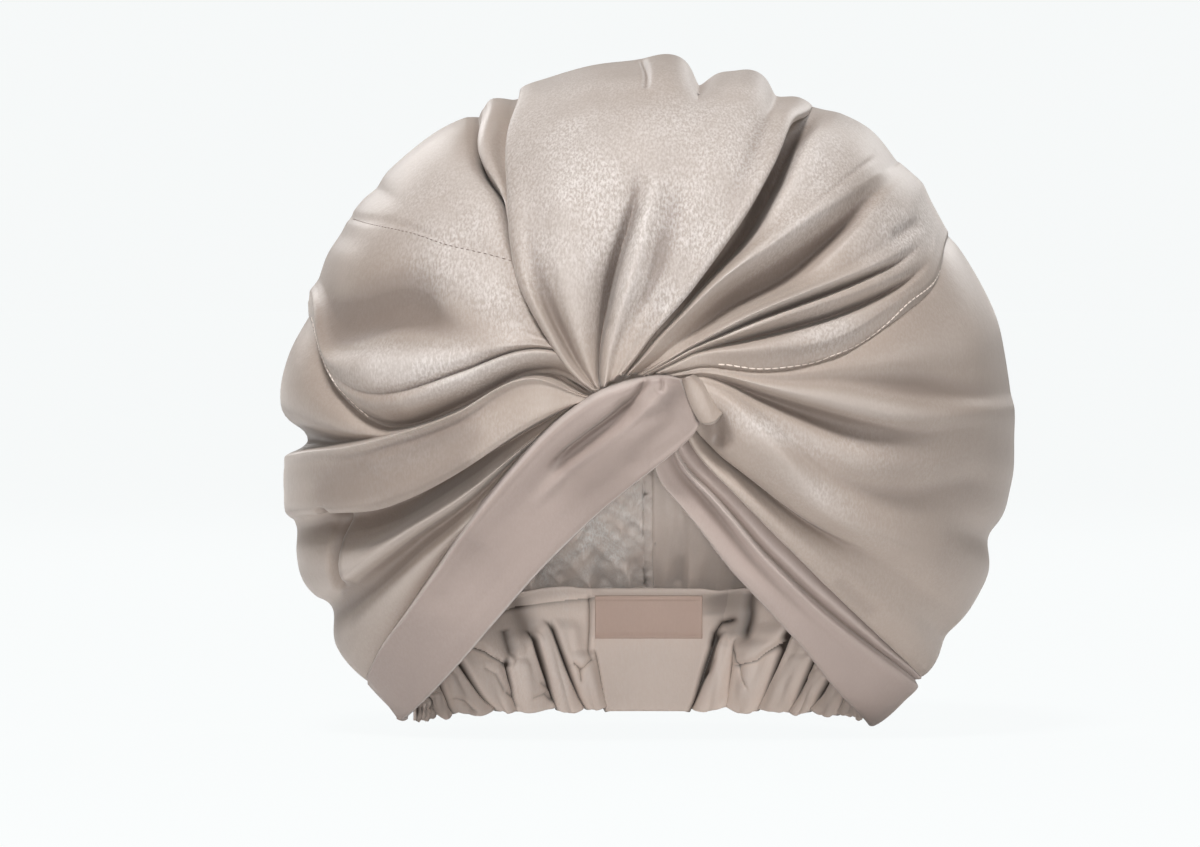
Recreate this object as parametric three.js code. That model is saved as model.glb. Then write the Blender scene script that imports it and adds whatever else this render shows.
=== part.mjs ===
// Satin sleep bonnet with a crossed front knot.
// Millimetres, Z up, the front faces -Y, +X is on the right seen from the front.
// The origin is the middle of the head opening, in the plane of the nape hem.
import * as THREE from 'three';

// ---- driving dimensions ----------------------------------------------------
const KNOT_Z = 129;        // height of the knot, the pole the folds fan out from
const KNOT_Y = -117;       // how far forward the knot stands
const BACK_Y = 128;        // how far back the bag reaches
const SIDE_Y = 0;          // depth of the widest line at the sides
const TOP_Y = 5;           // depth of the widest line at the top
const CORNER_X = 88;       // half width between the two lower corners
const CORNER_Y = -20;      // depth of the lower corners
const NAPE_Y = 83;         // depth of the nape hem at the centre back
const NAPE_POWER = 2.2;    // squareness of the nape curve
const CASING_TOP = 46;     // height of the ruched casing at the nape
const CORNER_TOP = 3;      // height of the bag hem at the lower corners
const CASING_END = 7.8;    // height of the casing at its two ends
const FRONT_POWER = 2.2;   // roundness of the front dome
const CORNER_POWER = 1.4;  // roundness towards the lower corners
const LOW_BACK_Y = 94;     // how far back the bag would reach at hem height
const BACK_POWER = 2.3;    // roundness of the back
const HEM_ROLL = 30;       // height over which the bag rolls in to its hem
const BACK_SEAM = 0.86;    // where the front pieces meet the back ones
const SEAM_X = 3.5;        // the centre back seam stands a little to one side
const CASING_START = 10;   // degrees round the nape where the casing begins
const END_INSET = 2.6;     // the casing ends pass this far inside the bag
const HEM_OUT = 3.7;       // the bag hem stands this far outside the casing
const WALL = 1.9;          // cloth wall
const GAP = 0.6;           // clearance between neighbouring pieces

// ---- outline seen from the front: radius from the knot by angle -------------
// angle: degrees, anticlockwise from +X
const OUTLINE = [
  { angle: -60, radius: 153.5 }, { angle: -45, radius: 150 },
  { angle: -30, radius: 146 }, { angle: -15, radius: 140 },
  { angle: 0, radius: 134 }, { angle: 20, radius: 126.5 },
  { angle: 45, radius: 122 }, { angle: 70, radius: 118 },
  { angle: 90, radius: 117.5 }, { angle: 110, radius: 117.5 },
  { angle: 135, radius: 119.5 }, { angle: 160, radius: 128 },
  { angle: 180, radius: 132.5 }, { angle: 200, radius: 141 },
  { angle: 215, radius: 149 }, { angle: 240, radius: 157 },
];
// notches and lobes that the folds leave in that outline
const LOBES = [
  { angle: -41, amount: -3.5, width: 3 }, { angle: -25, amount: -4, width: 3 },
  { angle: 65.5, amount: -3.5, width: 2.5 }, { angle: 71, amount: 2, width: 3 },
  { angle: 80, amount: -7.5, width: 2.5 }, { angle: 86, amount: 2, width: 4 },
  { angle: 121, amount: -1, width: 2 }, { angle: 145, amount: -1.3, width: 2 },
  { angle: 155, amount: -1.3, width: 3 }, { angle: 190, amount: -4, width: 3 },
  { angle: 215, amount: -4.5, width: 3.5 },
];

// ---- folds ------------------------------------------------------------------
// One row per fold line, from one edge of the piece to the other.
// a: angle of the line at five stations from the knot to the widest line, and on the back seam
// h: height of the cloth over the smooth dome at the same stations
const STATIONS = [0.15, 0.3, 0.5, 0.75, 1, 1.36];   // the last is behind, on the back seam

const CROWN_CENTER = [
  { fold: 'lip', a: [66, 60.5, 58, 60, 57, 57], h: [0, 4, 6, 7, 4.5, 1.2] },
  { fold: 'behind_lip', a: [73, 67, 64, 65, 63, 62], h: [0, 3, 4, 5, 0, 0.8] },
  { fold: 'body_right', a: [86, 79, 75, 76, 73, 73], h: [0, 2, 3, 4, 1, 0] },
  { fold: 'dart_shoulder', a: [120, 101, 88, 87, 85, 85], h: [1, 2.5, 3, 3, 0.5, 0] },
  { fold: 'dart', a: [150, 114, 96, 95, 93, 93], h: [-3, -5, -2.5, 1.5, 0.3, 0] },
  { fold: 'dart_foot', a: [160, 124, 104, 101, 99, 99], h: [0, 1.5, 2.5, 3, 0.5, 0] },
  { fold: 'body_left', a: [174, 142, 121, 111, 104, 104], h: [0, 2.5, 3.5, 3, 0.8, 0] },
  { fold: 'edge_left', a: [186, 161, 139, 123.5, 109, 109], h: [-1, 1, 2, 2, 0.8, 0] },
];
const CROWN_LEFT = [
  { fold: 'edge', a: [186, 161, 139, 123.5, 109, 109], h: [-1.4, -0.4, 0, -0.5, -0.5, 0] },
  { fold: 'slit', a: [186.8, 162.2, 142, 127.5, 113, 113], h: [-1, -0.5, -1, -5, -0.5, 0] },
  { fold: 'strip', a: [187.4, 163.4, 146, 132, 118, 118], h: [-1, 0.5, 2, 2, 3, 0] },
  { fold: 'strip_foot', a: [188, 164.8, 150, 138, 123, 123], h: [-1, 1, 2, 1, -0.5, 0] },
  { fold: 'body', a: [188.7, 166.8, 156, 148, 138, 138], h: [-1, 1, 3, 3, 2.5, 0] },
  { fold: 'dent_top', a: [189, 168.6, 163, 157, 150, 150], h: [-1, 1.5, 3, 1.5, 1, 0] },
  { fold: 'dent', a: [189.6, 170.6, 169, 165, 157, 157], h: [-1, 2, 2.5, -4, -1, 0] },
  { fold: 'puff', a: [190.2, 172.6, 177, 177, 163, 163], h: [-1, 2, 4, 2.5, 1, 0] },
  { fold: 'seam', a: [191, 174.5, 187.5, 188.5, 168, 168], h: [-1, -1.5, -2, -1, 0, 0] },
];
const SIDE_LEFT = [
  { fold: 'seam', a: [191, 174.5, 187.5, 188.5, 168, 168], h: [-1, -1.5, -2, -1, 0, 0] },
  { fold: 'bulge', a: [191.6, 175.6, 188.4, 189.4, 183, 183], h: [-1, -1.5, -2, 0, 2.5, 0] },
  { fold: 'groove', a: [192.2, 176.6, 189.2, 190.4, 190, 190], h: [-1, -1, -1.5, -1, 0, 0] },
  { fold: 'strip_top', a: [193, 178.4, 190.6, 192, 193, 193], h: [-1, 2, 4, 4, 0.8, 0] },
  { fold: 'strip', a: [194, 190, 198, 198.5, 197.5, 197.5], h: [-1, 2, 3, 3.5, 0.5, 0] },
  { fold: 'strip_foot', a: [195, 204, 204.6, 203.4, 201, 201], h: [-1, 3, 5, 6, 1.5, 0] },
  { fold: 'pocket', a: [196, 205.6, 207.6, 206.4, 203.8, 203.8], h: [-1.5, -2, -5, -8, -2, 0] },
  { fold: 'ridge', a: [197.5, 207, 211, 210.4, 209.5, 209.5], h: [-1.5, -1.5, 2, 3, 2, 0] },
  { fold: 'valley', a: [199, 208.6, 214.6, 214.4, 215.5, 215.5], h: [-1.5, -2, -3, -3, -0.5, 0] },
  { fold: 'last_ridge', a: [200.5, 210.4, 217.4, 218.6, 221, 221], h: [-1.5, -2, -1, 0, 0.5, -0.5] },
  { fold: 'under_band', a: [203, 214, 222, 227, 229, 229], h: [-1.5, -2, -1.5, -1.5, -1.5, -1.5] },
];
const CROWN_RIGHT = [
  { fold: 'seam', a: [8, 5, 6.5, 15, 25.5, 25.5], h: [-1, -1, -0.5, 0, 0, 0] },
  { fold: 'low_ridge', a: [19, 19, 15, 17, 26.6, 26.6], h: [-1, 1.5, 2.5, 2, 0.5, 0] },
  { fold: 'low_valley', a: [25, 25, 21.6, 20.6, 27.6, 27.6], h: [-1, -2.5, -4.5, -2, 0, 0] },
  { fold: 'ridge_b', a: [36, 33, 29, 25.4, 29, 29], h: [0, 4, 5, 4, 1, 0] },
  { fold: 'puff', a: [41, 38, 33.5, 31.5, 32, 32], h: [-1, 1, 2.5, 3, 2.5, 0] },
  { fold: 'big_valley', a: [46, 43, 38.5, 38, 37, 37], h: [-2, -4, -7, -4.5, 0, 0] },
  { fold: 'ridge_c', a: [54, 51, 47, 43.4, 41, 41], h: [0, 4, 5.5, 5, 1, 0] },
  { fold: 'slope', a: [57, 54.5, 52, 51, 49, 48], h: [-0.5, 1, 2, 3, 3.5, 0] },
  { fold: 'deep_valley', a: [60, 57, 56, 56.4, 55.6, 55.6], h: [-2, -4, -6, -7, -1.2, -1] },
  { fold: 'under_lip', a: [67, 64, 63, 64, 60, 58], h: [-3.4, -0.6, 0.4, 1.2, -1.8, -1.5] },
];
const SIDE_RIGHT = [
  { fold: 'lip', a: [-52, -55, -51.5, -48, -47, -46], h: [-1, 2, 3, 3, 1.5, 0] },
  { fold: 'lip_back', a: [-47, -51, -48, -45, -43.5, -43.5], h: [-1, -1, 1.5, 2.5, 1.5, 0] },
  { fold: 'soft_valley', a: [-42, -46, -41, -40, -38, -38], h: [-2, -4, -2.5, 1, 0.5, 0] },
  { fold: 'long_ridge', a: [-16, -21, -32, -35, -33, -33], h: [-1, 4, 5, 3, 1, 0] },
  { fold: 'shoulder', a: [-11, -17, -22, -25, -25, -25], h: [-1, 0, 2, 0.5, -0.5, 0] },
  { fold: 'side_valley', a: [-7, -13.5, -12, -15, -18, -18], h: [-2, -4, -4, 1, 1, 0] },
  { fold: 'side_ridge', a: [-3, -5, -5.5, -8, -11, -11], h: [-1, 1.5, 3, 3.5, 1.5, 0] },
  { fold: 'faint_valley', a: [1, 0, 1.5, 2, -3, -3], h: [-1, 0, -0.5, -1, 0.5, 0] },
  { fold: 'body_top', a: [4, 2.5, 4, 9, 12, 12], h: [-1, -0.5, 0.5, 2, 1, 0] },
  { fold: 'seam', a: [8, 5, 6.5, 15, 25.5, 25.5], h: [-1, -1, -0.5, 0, 0, 0] },
];
const BAND_RIGHT = [
  { fold: 'edge', a: [-99, -81, -64, -60, -58, -58], h: [-1.5, -1, 1, 1, 0.5, 0] },
  { fold: 'edge_back', a: [-92, -76, -61.5, -57.5, -55.5, -55.5], h: [-1.5, -0.5, 2.2, 2.4, 2, 0] },
  { fold: 'face', a: [-84, -71, -59, -54.5, -52.5, -52.5], h: [-1.5, -0.5, 2, 2.2, 2, 0] },
  { fold: 'crease', a: [-76, -66, -56, -52, -50, -50], h: [-1.5, -1, -0.5, -1, -1, -0.4] },
  { fold: 'pleat', a: [-68, -61.5, -53.4, -49.8, -48.4, -48.4], h: [-1.5, -0.5, 1, 1, 0, -0.6] },
  { fold: 'hidden', a: [-60, -58.4, -50.6, -46.4, -45.8, -46.4], h: [-3.6, -2.2, -0.8, -0.8, -1.8, -2.4] },
];

// ---- bands: one row per section, from the knot to the lower corner ----------
// ux, uz: upper edge; lx, lz: lower edge; lift: height over the dome
const BAND_LEFT = [
  { ux: 15.5, uz: 126, lx: 18, lz: 111, lift: 1.5, bow: 0.5 },
  { ux: 11, uz: 130, lx: 14.5, lz: 106, lift: 4, bow: 1.5 },
  { ux: 2, uz: 131.4, lx: 8, lz: 102.5, lift: 4.6, bow: 2 },
  { ux: -14, uz: 127.2, lx: -1.5, lz: 96, lift: 4.2, bow: 1.5 },
  { ux: -38, uz: 110, lx: -18.4, lz: 81.4, lift: 3.8, bow: 1 },
  { ux: -61, uz: 83.5, lx: -35.6, lz: 65.4, lift: 3.6, bow: 0.8 },
  { ux: -77, uz: 61.4, lx: -50.8, lz: 46.5, lift: 3.6, bow: 0.8 },
  { ux: -89, uz: 44, lx: -66, lz: 27.4, lift: 3.6, bow: 0.8 },
  { ux: -98, uz: 31.5, lx: -79, lz: 14, lift: 3.4, bow: 0.6 },
  { ux: -104.5, uz: 22, lx: -89.6, lz: 2.8, lift: 3, bow: 0.4 },
];
const BAND_TURN = { angles: [226, 235.2], turns: [89.5, 94], lift: 3 };   // wrapped round the corner

// ---- ruched casing and label ------------------------------------------------
const RUCHE_COUNT = 30;          // gathers along the casing
const RUCHE_DEPTH = 2.2;         // half depth of a gather
const FLAT = { from: -21, to: 23.5 };   // the ungathered length behind the label
const LABEL = { width: 44, height: 16.5, thick: 0.8, z: 36.4, x: 1.2 };

// ---- colours ------------------------------------------------------------------
const SATIN = 0xb3a39a, BAND_SATIN = 0xb2a29c, CASING_CLOTH = 0xb9a79d, LABEL_CLOTH = 0xc8ac9e;

// ---- maths --------------------------------------------------------------------
const rad = (d) => (d * Math.PI) / 180;
const clamp = (v, a, b) => Math.min(b, Math.max(a, v));
const smooth = (v) => { const x = clamp(v, 0, 1); return x * x * (3 - 2 * x); };

function spline(xs, ys, x) {
  const n = xs.length;
  if (x <= xs[0]) return ys[0];
  if (x >= xs[n - 1]) return ys[n - 1];
  let i = 0;
  while (x > xs[i + 1]) i++;
  const slope = (k) => (k <= 0 || k >= n - 1) ? 0
    : (ys[k + 1] - ys[k - 1]) / (xs[k + 1] - xs[k - 1]);
  const w = xs[i + 1] - xs[i], u = (x - xs[i]) / w;
  const m0 = i === 0 ? (ys[1] - ys[0]) / w : slope(i);
  const m1 = i === n - 2 ? (ys[n - 1] - ys[n - 2]) / w : slope(i + 1);
  const u2 = u * u, u3 = u2 * u;
  return (2 * u3 - 3 * u2 + 1) * ys[i] + (u3 - 2 * u2 + u) * w * m0
    + (3 * u2 - 2 * u3) * ys[i + 1] + (u3 - u2) * w * m1;
}

const OUT_A = OUTLINE.map((r) => r.angle), OUT_R = OUTLINE.map((r) => r.radius);
const LEFT_CORNER = 235.5, RIGHT_CORNER = -58.5;

const frontFade = (t) => smooth((t - 0.5) / 0.4);
const backFade = (t) => smooth((t - 0.87) / 0.12);
function outline(angle, fade) {
  let r = spline(OUT_A, OUT_R, angle);
  for (const lobe of LOBES) {
    const d = (angle - lobe.angle) / lobe.width;
    r += fade * lobe.amount * Math.exp(-d * d);
  }
  return r;
}

// point on the nape curve at a quarter turn th (0 at the corner, 90 at the centre back), grown by g
const power = (v, e) => Math.pow(Math.max(v, 0), e);
const napeAt = (th, g) => [(CORNER_X + g) * power(Math.cos(rad(th)), 2 / NAPE_POWER),
  CORNER_Y + (NAPE_Y + g - CORNER_Y) * power(Math.sin(rad(th)), 2 / NAPE_POWER)];
const hemAt = (th) => CORNER_TOP + (CASING_TOP - CORNER_TOP) * smooth(th / 90);
const CASING_LAP = 1.2;     // the casing stands this much above the bag's hem at the centre
const casingTop = (th) => {
  const middle = CASING_TOP + CASING_LAP;
  return middle - (middle - CASING_END) * smooth((45 - th) / 30);
};

// how far an angle is below the horizontal, 0 at the sides and 1 at the corners
const drop = (angle) => angle > 90 ? smooth((angle - 180) / 54) : smooth(-angle / 56);
const limbY = (angle) => SIDE_Y + (TOP_Y - SIDE_Y) * Math.max(0, Math.sin(rad(angle)))
  + (CORNER_Y - SIDE_Y) * drop(angle);
const frontPower = (angle) => FRONT_POWER + (CORNER_POWER - FRONT_POWER) * drop(angle);

// below the knot the back is a stack of level slices between the widest line and the centre back
const HALVINGS = 24;
function limbAt(side, z) {
  let lo = side > 0 ? RIGHT_CORNER : 180, hi = side > 0 ? 0 : LEFT_CORNER;
  for (let k = 0; k < HALVINGS; k++) {
    const mid = (lo + hi) / 2;
    const above = KNOT_Z + outline(mid, 0) * Math.sin(rad(mid)) > z;
    if (above === (side > 0)) hi = mid;
    else lo = mid;
  }
  return { x: outline(lo, 0) * Math.abs(Math.cos(rad(lo))), y: limbY(lo) };
}
const backProfile = (z) => LOW_BACK_Y + (BACK_Y - LOW_BACK_Y)
  * power(1 - Math.pow(clamp((KNOT_Z - z) / KNOT_Z, 0, 1), BACK_POWER), 1 / BACK_POWER);
function slice(side, th, z) {
  const limb = limbAt(side, z), e = 2 / BACK_POWER;
  const reach = backProfile(z) - limb.y;
  return [limb.x * power(Math.cos(rad(th)), e), limb.y + reach * power(Math.sin(rad(th)), e)];
}
function sliceTurn(side, x, z) {
  return Math.acos(clamp(Math.pow(Math.abs(x) / limbAt(side, z).x, BACK_POWER / 2), 0, 1)) * 180 / Math.PI;
}

// smooth dome: turn 0 is the knot, 90 the widest line, 180 the middle of the back
function dome(angle, turn) {
  const th = rad(turn), sn = Math.sin(th), cs = Math.cos(th);
  const c = Math.cos(rad(angle)), s = Math.sin(rad(angle));
  if (turn <= 90) {
    const e = 2 / frontPower(angle), t = Math.pow(Math.max(sn, 0), e);
    const y = limbY(angle), r = outline(angle, frontFade(t)) * t;
    return new THREE.Vector3(r * c, y - (y - KNOT_Y) * Math.pow(Math.max(cs, 0), e), KNOT_Z + r * s);
  }
  const e = 2 / BACK_POWER, t = power(sn, e), y = limbY(angle), r = outline(angle, backFade(t)) * t;
  if (s >= 0) return new THREE.Vector3(r * c, y + (BACK_Y - y) * power(-cs, e), KNOT_Z + r * s);
  const side = Math.sign(c), r0 = outline(angle, 0) * t, z0 = KNOT_Z + r0 * s;
  return new THREE.Vector3(r * c, slice(side, sliceTurn(side, r0 * c, z0), z0)[1], KNOT_Z + r * s);
}
const frontTurn = (angle, t) => Math.asin(clamp(Math.pow(t, frontPower(angle) / 2), 0, 1)) * 180 / Math.PI;
const backTurn = (t) => 180 - Math.asin(clamp(Math.pow(t, BACK_POWER / 2), 0, 1)) * 180 / Math.PI;
function station(angle, turn) {
  if (turn > 90) return 1 + (turn - 90) / 90;
  return Math.pow(Math.sin(rad(turn)), 2 / frontPower(angle));
}

function domeNormal(angle, turn) {
  const lo = clamp(turn, 2, 176);
  const du = dome(angle + 0.5, lo).sub(dome(angle - 0.5, lo));
  const dv = dome(angle, lo + 1.5).sub(dome(angle, lo - 1.5));
  return dv.cross(du).normalize();
}

// ---- closed sheets -------------------------------------------------------------
// outer and inner are (nu+1) x (nv+1) grids of points
function closedSheet(outer, inner) {
  const nu = outer.length - 1, nv = outer[0].length - 1;
  const verts = [], seen = new Map(), index = [];
  const id = (p) => {
    const key = [p.x, p.y, p.z].map((v) => Math.round(v * 500)).join(',');
    if (!seen.has(key)) {
      seen.set(key, verts.length / 3);
      verts.push(p.x, p.y, p.z);
    }
    return seen.get(key);
  };
  const tri = (a, b, c) => {
    if (a !== b && b !== c && c !== a) index.push(a, b, c);
  };
  const O = outer.map((col) => col.map(id)), I = inner.map((col) => col.map(id));
  const quad = (a, b, c, d) => {
    tri(a, b, c);
    tri(a, c, d);
  };
  for (let i = 0; i < nu; i++) for (let j = 0; j < nv; j++) {
    quad(O[i][j], O[i + 1][j], O[i + 1][j + 1], O[i][j + 1]);
    quad(I[i][j], I[i][j + 1], I[i + 1][j + 1], I[i + 1][j]);
  }
  for (let i = 0; i < nu; i++) {
    quad(O[i][0], I[i][0], I[i + 1][0], O[i + 1][0]);
    quad(O[i + 1][nv], I[i + 1][nv], I[i][nv], O[i][nv]);
  }
  for (let j = 0; j < nv; j++) {
    quad(O[0][j + 1], I[0][j + 1], I[0][j], O[0][j]);
    quad(O[nu][j], I[nu][j], I[nu][j + 1], O[nu][j + 1]);
  }
  let vol = 0;
  for (let k = 0; k < index.length; k += 3) {
    const [a, b, c] = [0, 1, 2].map((q) => new THREE.Vector3().fromArray(verts, index[k + q] * 3));
    vol += a.dot(b.cross(c));
  }
  if (vol < 0) {
    for (let k = 0; k < index.length; k += 3) {
      [index[k + 1], index[k + 2]] = [index[k + 2], index[k + 1]];
    }
  }
  const g = new THREE.BufferGeometry();
  g.setAttribute('position', new THREE.Float32BufferAttribute(verts, 3));
  g.setIndex(index);
  g.computeVertexNormals();
  return g;
}

const group = new THREE.Group();
function add(name, geometry, color, roughness) {
  const mesh = new THREE.Mesh(geometry, new THREE.MeshStandardMaterial({ color, roughness, metalness: 0 }));
  mesh.name = name;
  group.add(mesh);
}

// nearest radius to the knot: the pieces end on the slanted gathering line
const GATHER = { offset: 2.6, square: 107, reach: 18, least: 0.14 };
function innerTurn(angle) {
  const lean = Math.max(GATHER.least, Math.cos(rad(angle - GATHER.square)));
  const r = Math.min(GATHER.reach, GATHER.offset / lean);
  return frontTurn(angle, r / outline(angle, 0));
}

// where the front pieces end behind the widest line; they stop at it under the bands
const SEAM_TURN = backTurn(BACK_SEAM);
const CORNER_TURN = 92;    // the turn at which they stop near the lower corners
const backEnd = (angle) => {
  const near = angle > 90 ? smooth((angle - 219) / 13) : smooth((-37 - angle) / 11);
  return SEAM_TURN - (SEAM_TURN - CORNER_TURN) * near;
};

// angle that sets an edge back by half the clearance, measured square to the edge
function inset(line, t) {
  const R = outline(spline(STATIONS, line, t), 0), r = Math.max(12, R * Math.min(t, 1));
  const slope = rad(spline(STATIONS, line, t + 0.02) - spline(STATIONS, line, t - 0.02)) / 0.04;
  return (GAP / 2 / r) * Math.min(3, Math.hypot(1, slope * r / R)) * 180 / Math.PI;
}

const FOLD_STEPS = 2;      // columns from one fold line to the next
const BEHIND = 4;          // rows behind the widest line
function foldedPiece(rows, along, startTurn = innerTurn) {
  const last = rows.length - 1, sign = rows[last].a[4] > rows[0].a[4] ? 1 : -1;
  const outer = [], inner = [];
  for (let col = 0; col <= last * FOLD_STEPS; col++) {
    const c = col / FOLD_STEPS, k = Math.min(Math.floor(c), last - 1), f = c - k;
    const A = rows[k], B = rows[k + 1], blend = (1 - Math.cos(Math.PI * f)) / 2;
    const lineAt = (t) => (1 - f) * spline(STATIONS, A.a, t) + f * spline(STATIONS, B.a, t);
    const angleAt = (t) => {
      const from = spline(STATIONS, rows[0].a, t), to = spline(STATIONS, rows[last].a, t);
      const lo = from + sign * inset(rows[0].a, t), hi = to - sign * inset(rows[last].a, t);
      return lo + (lineAt(t) - from) / (to - from) * (hi - lo);
    };
    const heightAt = (t) => (1 - blend) * spline(STATIONS, A.h, t) + blend * spline(STATIONS, B.h, t);
    const front = along - BEHIND, rim = lineAt(1);
    const t0 = startTurn(lineAt(STATIONS[0])), t1 = backEnd(rim) - 0.2;
    const O = [], I = [];
    for (let j = 0; j <= along; j++) {
      const turn = j <= front ? t0 + (90 - t0) * j / front : 90 + (t1 - 90) * (j - front) / BEHIND;
      const t = station(rim, turn), angle = angleAt(t), at = turn <= 90 ? frontTurn(angle, t) : turn;
      const p = dome(angle, at), n = domeNormal(angle, at), h = heightAt(t);
      O.push(p.clone().addScaledVector(n, h));
      I.push(p.clone().addScaledVector(n, h - WALL));
    }
    outer.push(O);
    inner.push(I);
  }
  return closedSheet(outer, inner);
}

const SATIN_SHINE = 0.42, BAND_SHINE = 0.6, LABEL_SHINE = 0.8;    // roughness
const PANEL_ROWS = 15, BAND_ROWS = 12;
const BAND_START = 0.13;   // the lower band starts this far from the knot
add('crown_center', foldedPiece(CROWN_CENTER, PANEL_ROWS), SATIN, SATIN_SHINE);
add('crown_left', foldedPiece(CROWN_LEFT, PANEL_ROWS), SATIN, SATIN_SHINE);
add('side_left', foldedPiece(SIDE_LEFT, PANEL_ROWS), SATIN, SATIN_SHINE);
add('crown_right', foldedPiece(CROWN_RIGHT, PANEL_ROWS), SATIN, SATIN_SHINE);
add('side_right', foldedPiece(SIDE_RIGHT, PANEL_ROWS), SATIN, SATIN_SHINE);
add('band_right', foldedPiece(BAND_RIGHT, BAND_ROWS, (a) => frontTurn(a, BAND_START)), BAND_SATIN, BAND_SHINE);

// crossing band: a ribbon laid over the fan, turned round the corner at its end
const BAND_ACROSS = 6;
function crossingBand(sections) {
  const onDome = (x, z, lift) => {
    let angle = Math.atan2(z - KNOT_Z, x) * 180 / Math.PI;
    if (angle < -90) angle += 360;
    const d = Math.hypot(x, z - KNOT_Z);
    let t = d / outline(angle, 1);
    for (let k = 0; k < 6; k++) t = Math.min(1, d / outline(angle, frontFade(t)));
    const turn = frontTurn(angle, t), n = domeNormal(angle, turn);
    return [dome(angle, turn).addScaledVector(n, lift), n];
  };
  const outer = [], inner = [];
  for (const s of sections) {
    const O = [], I = [];
    for (let j = 0; j <= BAND_ACROSS; j++) {
      const w = j / BAND_ACROSS, bow = s.bow * Math.sin(Math.PI * w);
      const [p, n] = onDome(s.ux + (s.lx - s.ux) * w, s.uz + (s.lz - s.uz) * w, s.lift + bow);
      O.push(p);
      I.push(p.clone().addScaledVector(n, -WALL));
    }
    outer.push(O);
    inner.push(I);
  }
  for (const turn of BAND_TURN.turns) {
    const O = [], I = [];
    for (let j = 0; j <= BAND_ACROSS; j++) {
      const angle = BAND_TURN.angles[0] + (BAND_TURN.angles[1] - BAND_TURN.angles[0]) * j / BAND_ACROSS;
      const n = domeNormal(angle, Math.min(turn, CORNER_TURN));
      const p = dome(angle, turn).addScaledVector(n, BAND_TURN.lift);
      O.push(p);
      I.push(p.clone().addScaledVector(n, -WALL));
    }
    outer.push(O);
    inner.push(I);
  }
  return closedSheet(outer, inner);
}
add('band_left', crossingBand(BAND_LEFT), BAND_SATIN, BAND_SHINE);

// back pieces: from the front pieces' back edge to the centre seam, and down to the nape hem
const ACROSS = [0, 0.2, 0.4, 0.58, 0.74, 0.86, 0.94, 1];    // shares of the width, from the centre seam out
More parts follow.
